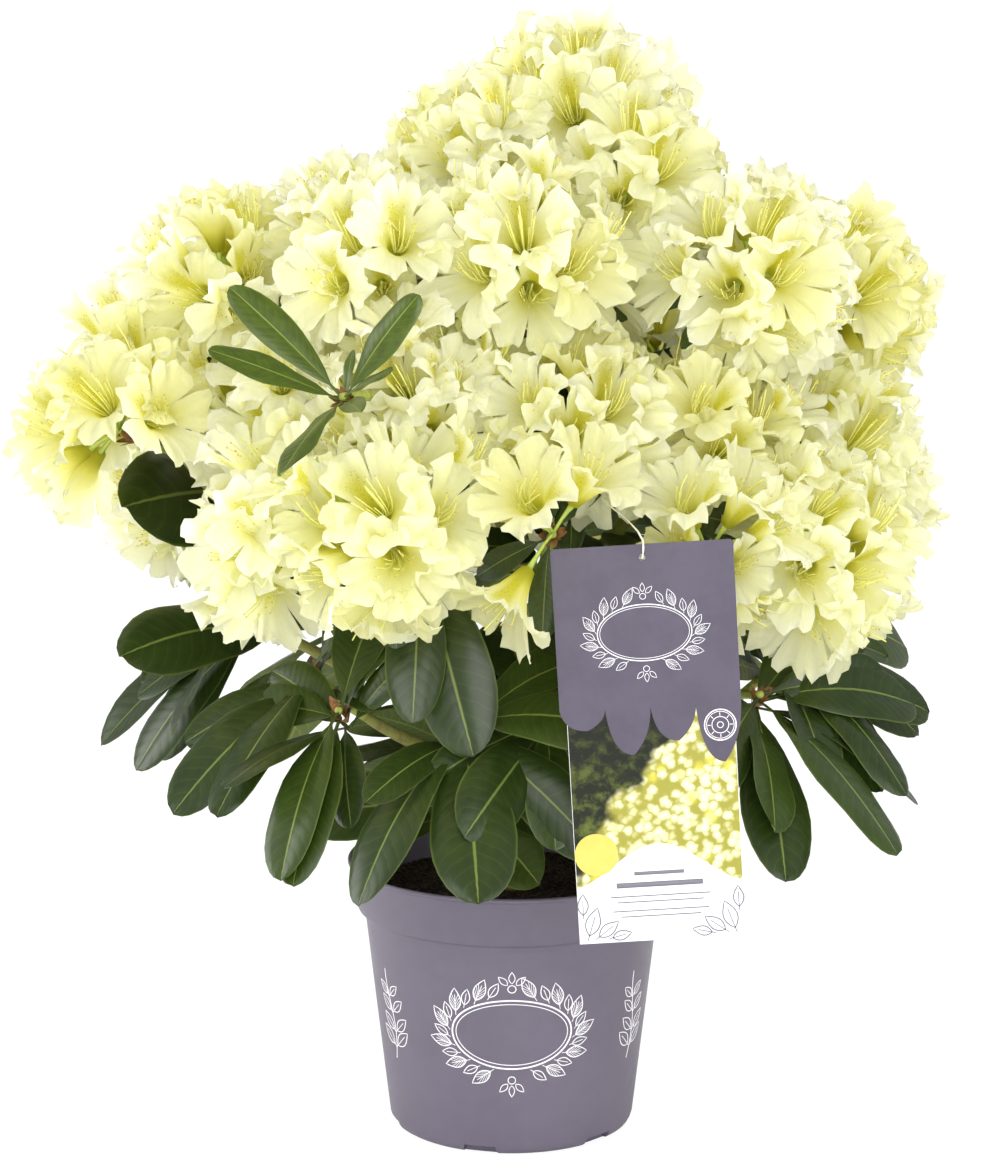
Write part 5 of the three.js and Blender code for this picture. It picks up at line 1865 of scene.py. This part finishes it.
white_ink = ink_finish("white_ink", (238, 237, 240))
grey_ink = ink_finish("grey_ink", (112, 110, 120))
white_card = card_finish("white_card", colour(226, 226, 227), colour(219, 219, 221))
header_card = card_finish("header_card", colour(74, 69, 83), colour(79, 73, 88))
yellow_card = card_finish("yellow_card", colour(202, 186, 92), colour(196, 179, 84))

# %% The picture and the string
def build_garden(w, _):
    """The tag's picture: masks for a hedge, the edge of a bed, its petals and hearts, and shade."""
    across, up = w.map_place()
    place = w.vector(across, up)
    hedge = w.noise(place, 22.0, 5.0, 0.65)
    bed = w.plus(w.minus(across, w.times(up, 0.75)), w.times(w.noise(place, 9.0), 0.22))
    bent = w.noise(place, 60.0, 2.0)
    bent_place = w.vector(w.plus(across, w.times(bent, 0.02)), w.plus(up, w.times(bent, 0.015)))
    petals = w.soft(w.cells(bent_place, 46.0), 0.2, 0.75)
    hearts = w.fall(w.cells(bent_place, 17.0), 0.1, 0.35)
    return [hedge, w.soft(bed, 0.24, 0.28), petals, hearts, w.soft(up, 0.34, 0.62)]


GARDEN_MARKS = ["Hedge", "Bed", "Petals", "Hearts", "Shade"]
garden = effect("garden_picture", {}, GARDEN_MARKS, build_garden)
picture_finish, w, shader = new_finish("garden_print", 0.5, coat_roughness=0.25, specular_ior_level=0.2)
marks = use(w, garden)
green = w.mix(w.soft(marks["Hedge"], 0.44, 0.68), colour(22, 27, 12), colour(84, 94, 34))
green = w.mix(w.times(marks["Shade"], 0.8), green, colour(16, 18, 10))
bloom = w.mix(marks["Petals"], colour(232, 229, 178), colour(146, 142, 58))
bloom = w.mix(w.times(marks["Hearts"], 0.6), bloom, colour(214, 200, 66))
w.feed(shader.inputs["Base Color"], w.mix(marks["Bed"], green, bloom))
w.feed(shader.inputs["Coat Weight"], w.soft(marks["Hedge"], 0.0, 1.0, 0.03, 0.06))
string_finish = clouded_finish("string_fibre", colour(226, 224, 214), colour(204, 201, 188), 400.0, 0.7, 0.1)
print("materials:", len(bpy.data.materials), "- effects:", len(bpy.data.node_groups))

# %% [markdown]
# ## Dressing the plant
# Each sheaf becomes a mesh with its finish. The first piece of a kind stands for the solids of that
# kind, which then stay hidden. The trunk and the boughs are replaced as well, because the limbs above
# carry the relief of bark.

# %% Make the pieces
blossom_nodes = [f"blossom_{row[0]}" for row in BOUGHS if row[6] == "blossom"]
foliage_nodes = [f"foliage_{row[0]}" for row in BOUGHS if row[6] == "foliage" and row[0] != "sprig"]
foliage_nodes += [f"foliage_{row[0]}" for row in FOOT_SHOOTS]
limb_nodes = ["trunk"] + [f"bough_{row[0]}" for row in BOUGHS]
for number, (sheaf, finish) in enumerate(zip(petal_sheaves, petal_finishes)):
    sheaf.make(finish, "blossom", blossom_nodes if number == 0 else (), stacked=True)
thread_sheaf.make(thread_finish, "blossom")
anther_sheaf.make(anther_finish, "blossom")
stalk_sheaf.make(stalk_finish, "blossom")
leaf_sheaves["dark"].make(leaf_finishes["dark"], "foliage", foliage_nodes, stacked=True)
leaf_sheaves["mid"].make(leaf_finishes["mid"], "foliage", stacked=True)
leaf_sheaves["young"].make(leaf_finishes["young"], "young_foliage", ["foliage_sprig"], stacked=True)
limb_sheaf.make(bark_finish, "bark", limb_nodes)
twig_sheaf.make(twig_finish, "bark")
scale_sheaf.make(scale_finish, "bark")
peat_sheaf.make(peat_finish, "soil", ["soil"])
crumb_sheaf.make(crumb_finish, "soil")
finish_piece(pot, pot_finish, ["pot"])
print_sheaf.make(white_ink, "pot")
finish_piece(tag_card, white_card, ["tag"])
finish_piece(tag_picture, picture_finish)
finish_piece(tag_field, white_card)
finish_piece(tag_header, header_card)
finish_piece(tag_sticker, yellow_card)
tag_print.make(white_ink, "tag")
tag_lines.make(grey_ink, "tag")
string_sheaf.make(string_finish, "tag_cord", ["tag_cord"])

# %% [markdown]
# # Light and floor
# The plant stands on a plain white floor in a white studio. A soft key light comes from the front,
# above the camera's left, a weaker one fills the right, a broad one lights the front evenly, one at
# the left reaches under the crown, and one from behind shines through the petals. The floor is a disc
# so wide that its edge never shows. What the camera sees of floor and sky is plain white, as behind
# a product picture, and what gloss sees of the sky is dimmer, so that the dark leaves stay dark.

# %% Lay the floor
FLOOR_RINGS = [(0, 0), (1500, 0), (6000, 0), (30000, 0), (300000, 0)]
FLOOR_SIDES = 48
floor_faces = grid_faces(len(FLOOR_RINGS), FLOOR_SIDES, True)
floor = mesh_object("studio_floor", turned(FLOOR_RINGS, FLOOR_SIDES), floor_faces)
floor_finish, w, shader = new_finish("floor_white", 0.7, specular_ior_level=0.2)
floor_cloud = use(w, clouds, scale=0.8)["Mask"]
w.feed(shader.inputs["Base Color"], w.mix(floor_cloud, colour(251, 251, 251), colour(250, 250, 250)))
seen = w.times(w.node("ShaderNodeLightPath").outputs["Is Camera Ray"], 0.8)
plain_white = w.node("ShaderNodeEmission", {"Color": colour(255, 255, 255), "Strength": 1.1})
blend_shaders(floor_finish, w, seen, shader, plain_white)
floor.data.materials.append(floor_finish)
floor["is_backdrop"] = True

# %% Light the plant
def soft_light(name, place, aim, size, power):
    """A square softbox in metres that looks at a point."""
    data = bpy.data.lights.new(name, "AREA")
    data.shape = "SQUARE"
    data.size = size
    data.energy = power
    lamp = new_object(name, data)
    lamp.location = place
    direction = np.array(aim) - np.array(place)
    level = math.hypot(direction[0], direction[1])
    lamp.rotation_euler = (math.atan2(level, -direction[2]), 0, math.atan2(-direction[0], direction[1]))


soft_light("key_light", (-1.3, -2.1, 2.5), (0, 0, 0.42), 1.3, 17)
soft_light("fill_light", (1.9, -1.7, 1.3), (0, 0, 0.4), 1.5, 16)
soft_light("front_light", (0.1, -2.9, 1.0), (0, 0, 0.4), 2.0, 50)
soft_light("side_light", (-2.0, 0.1, 0.7), (0, 0, 0.25), 1.2, 20)
soft_light("back_light", (0.6, 2.2, 2.3), (0, 0, 0.45), 1.5, 15)
world = bpy.data.worlds.new("white_studio")
world.use_nodes = True
world.node_tree.nodes["Background"].inputs["Color"].default_value = (1, 1, 1, 1)
w = Wiring(world.node_tree)
rays = w.node("ShaderNodeLightPath").outputs
strength = w.soft(rays["Is Camera Ray"], 0.0, 1.0, 1.02, 1.3)
strength = w.minus(strength, w.times(rays["Is Glossy Ray"], 0.6))
w.feed(world.node_tree.nodes["Background"].inputs["Strength"], strength)
bpy.context.scene.world = world
bpy.context.scene.view_settings.view_transform = "Standard"

# %% [markdown]
# ## Measuring
# Both boxes, of the solids and of the grown plant, are printed in millimetres. The grown plant
# has to stay in the box of its solids, within a few per cent.

# %% Measure and finish
visual_low, visual_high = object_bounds()
sizes = {
    "cad": [[float(v) for v in cad_low], [float(v) for v in cad_high]],
    "visual": [[float(v) for v in visual_low], [float(v) for v in visual_high]],
}
for name, (low, high) in sizes.items():
    print(name, "box in mm:", [round(v * 1000) for v in low], [round(v * 1000) for v in high])
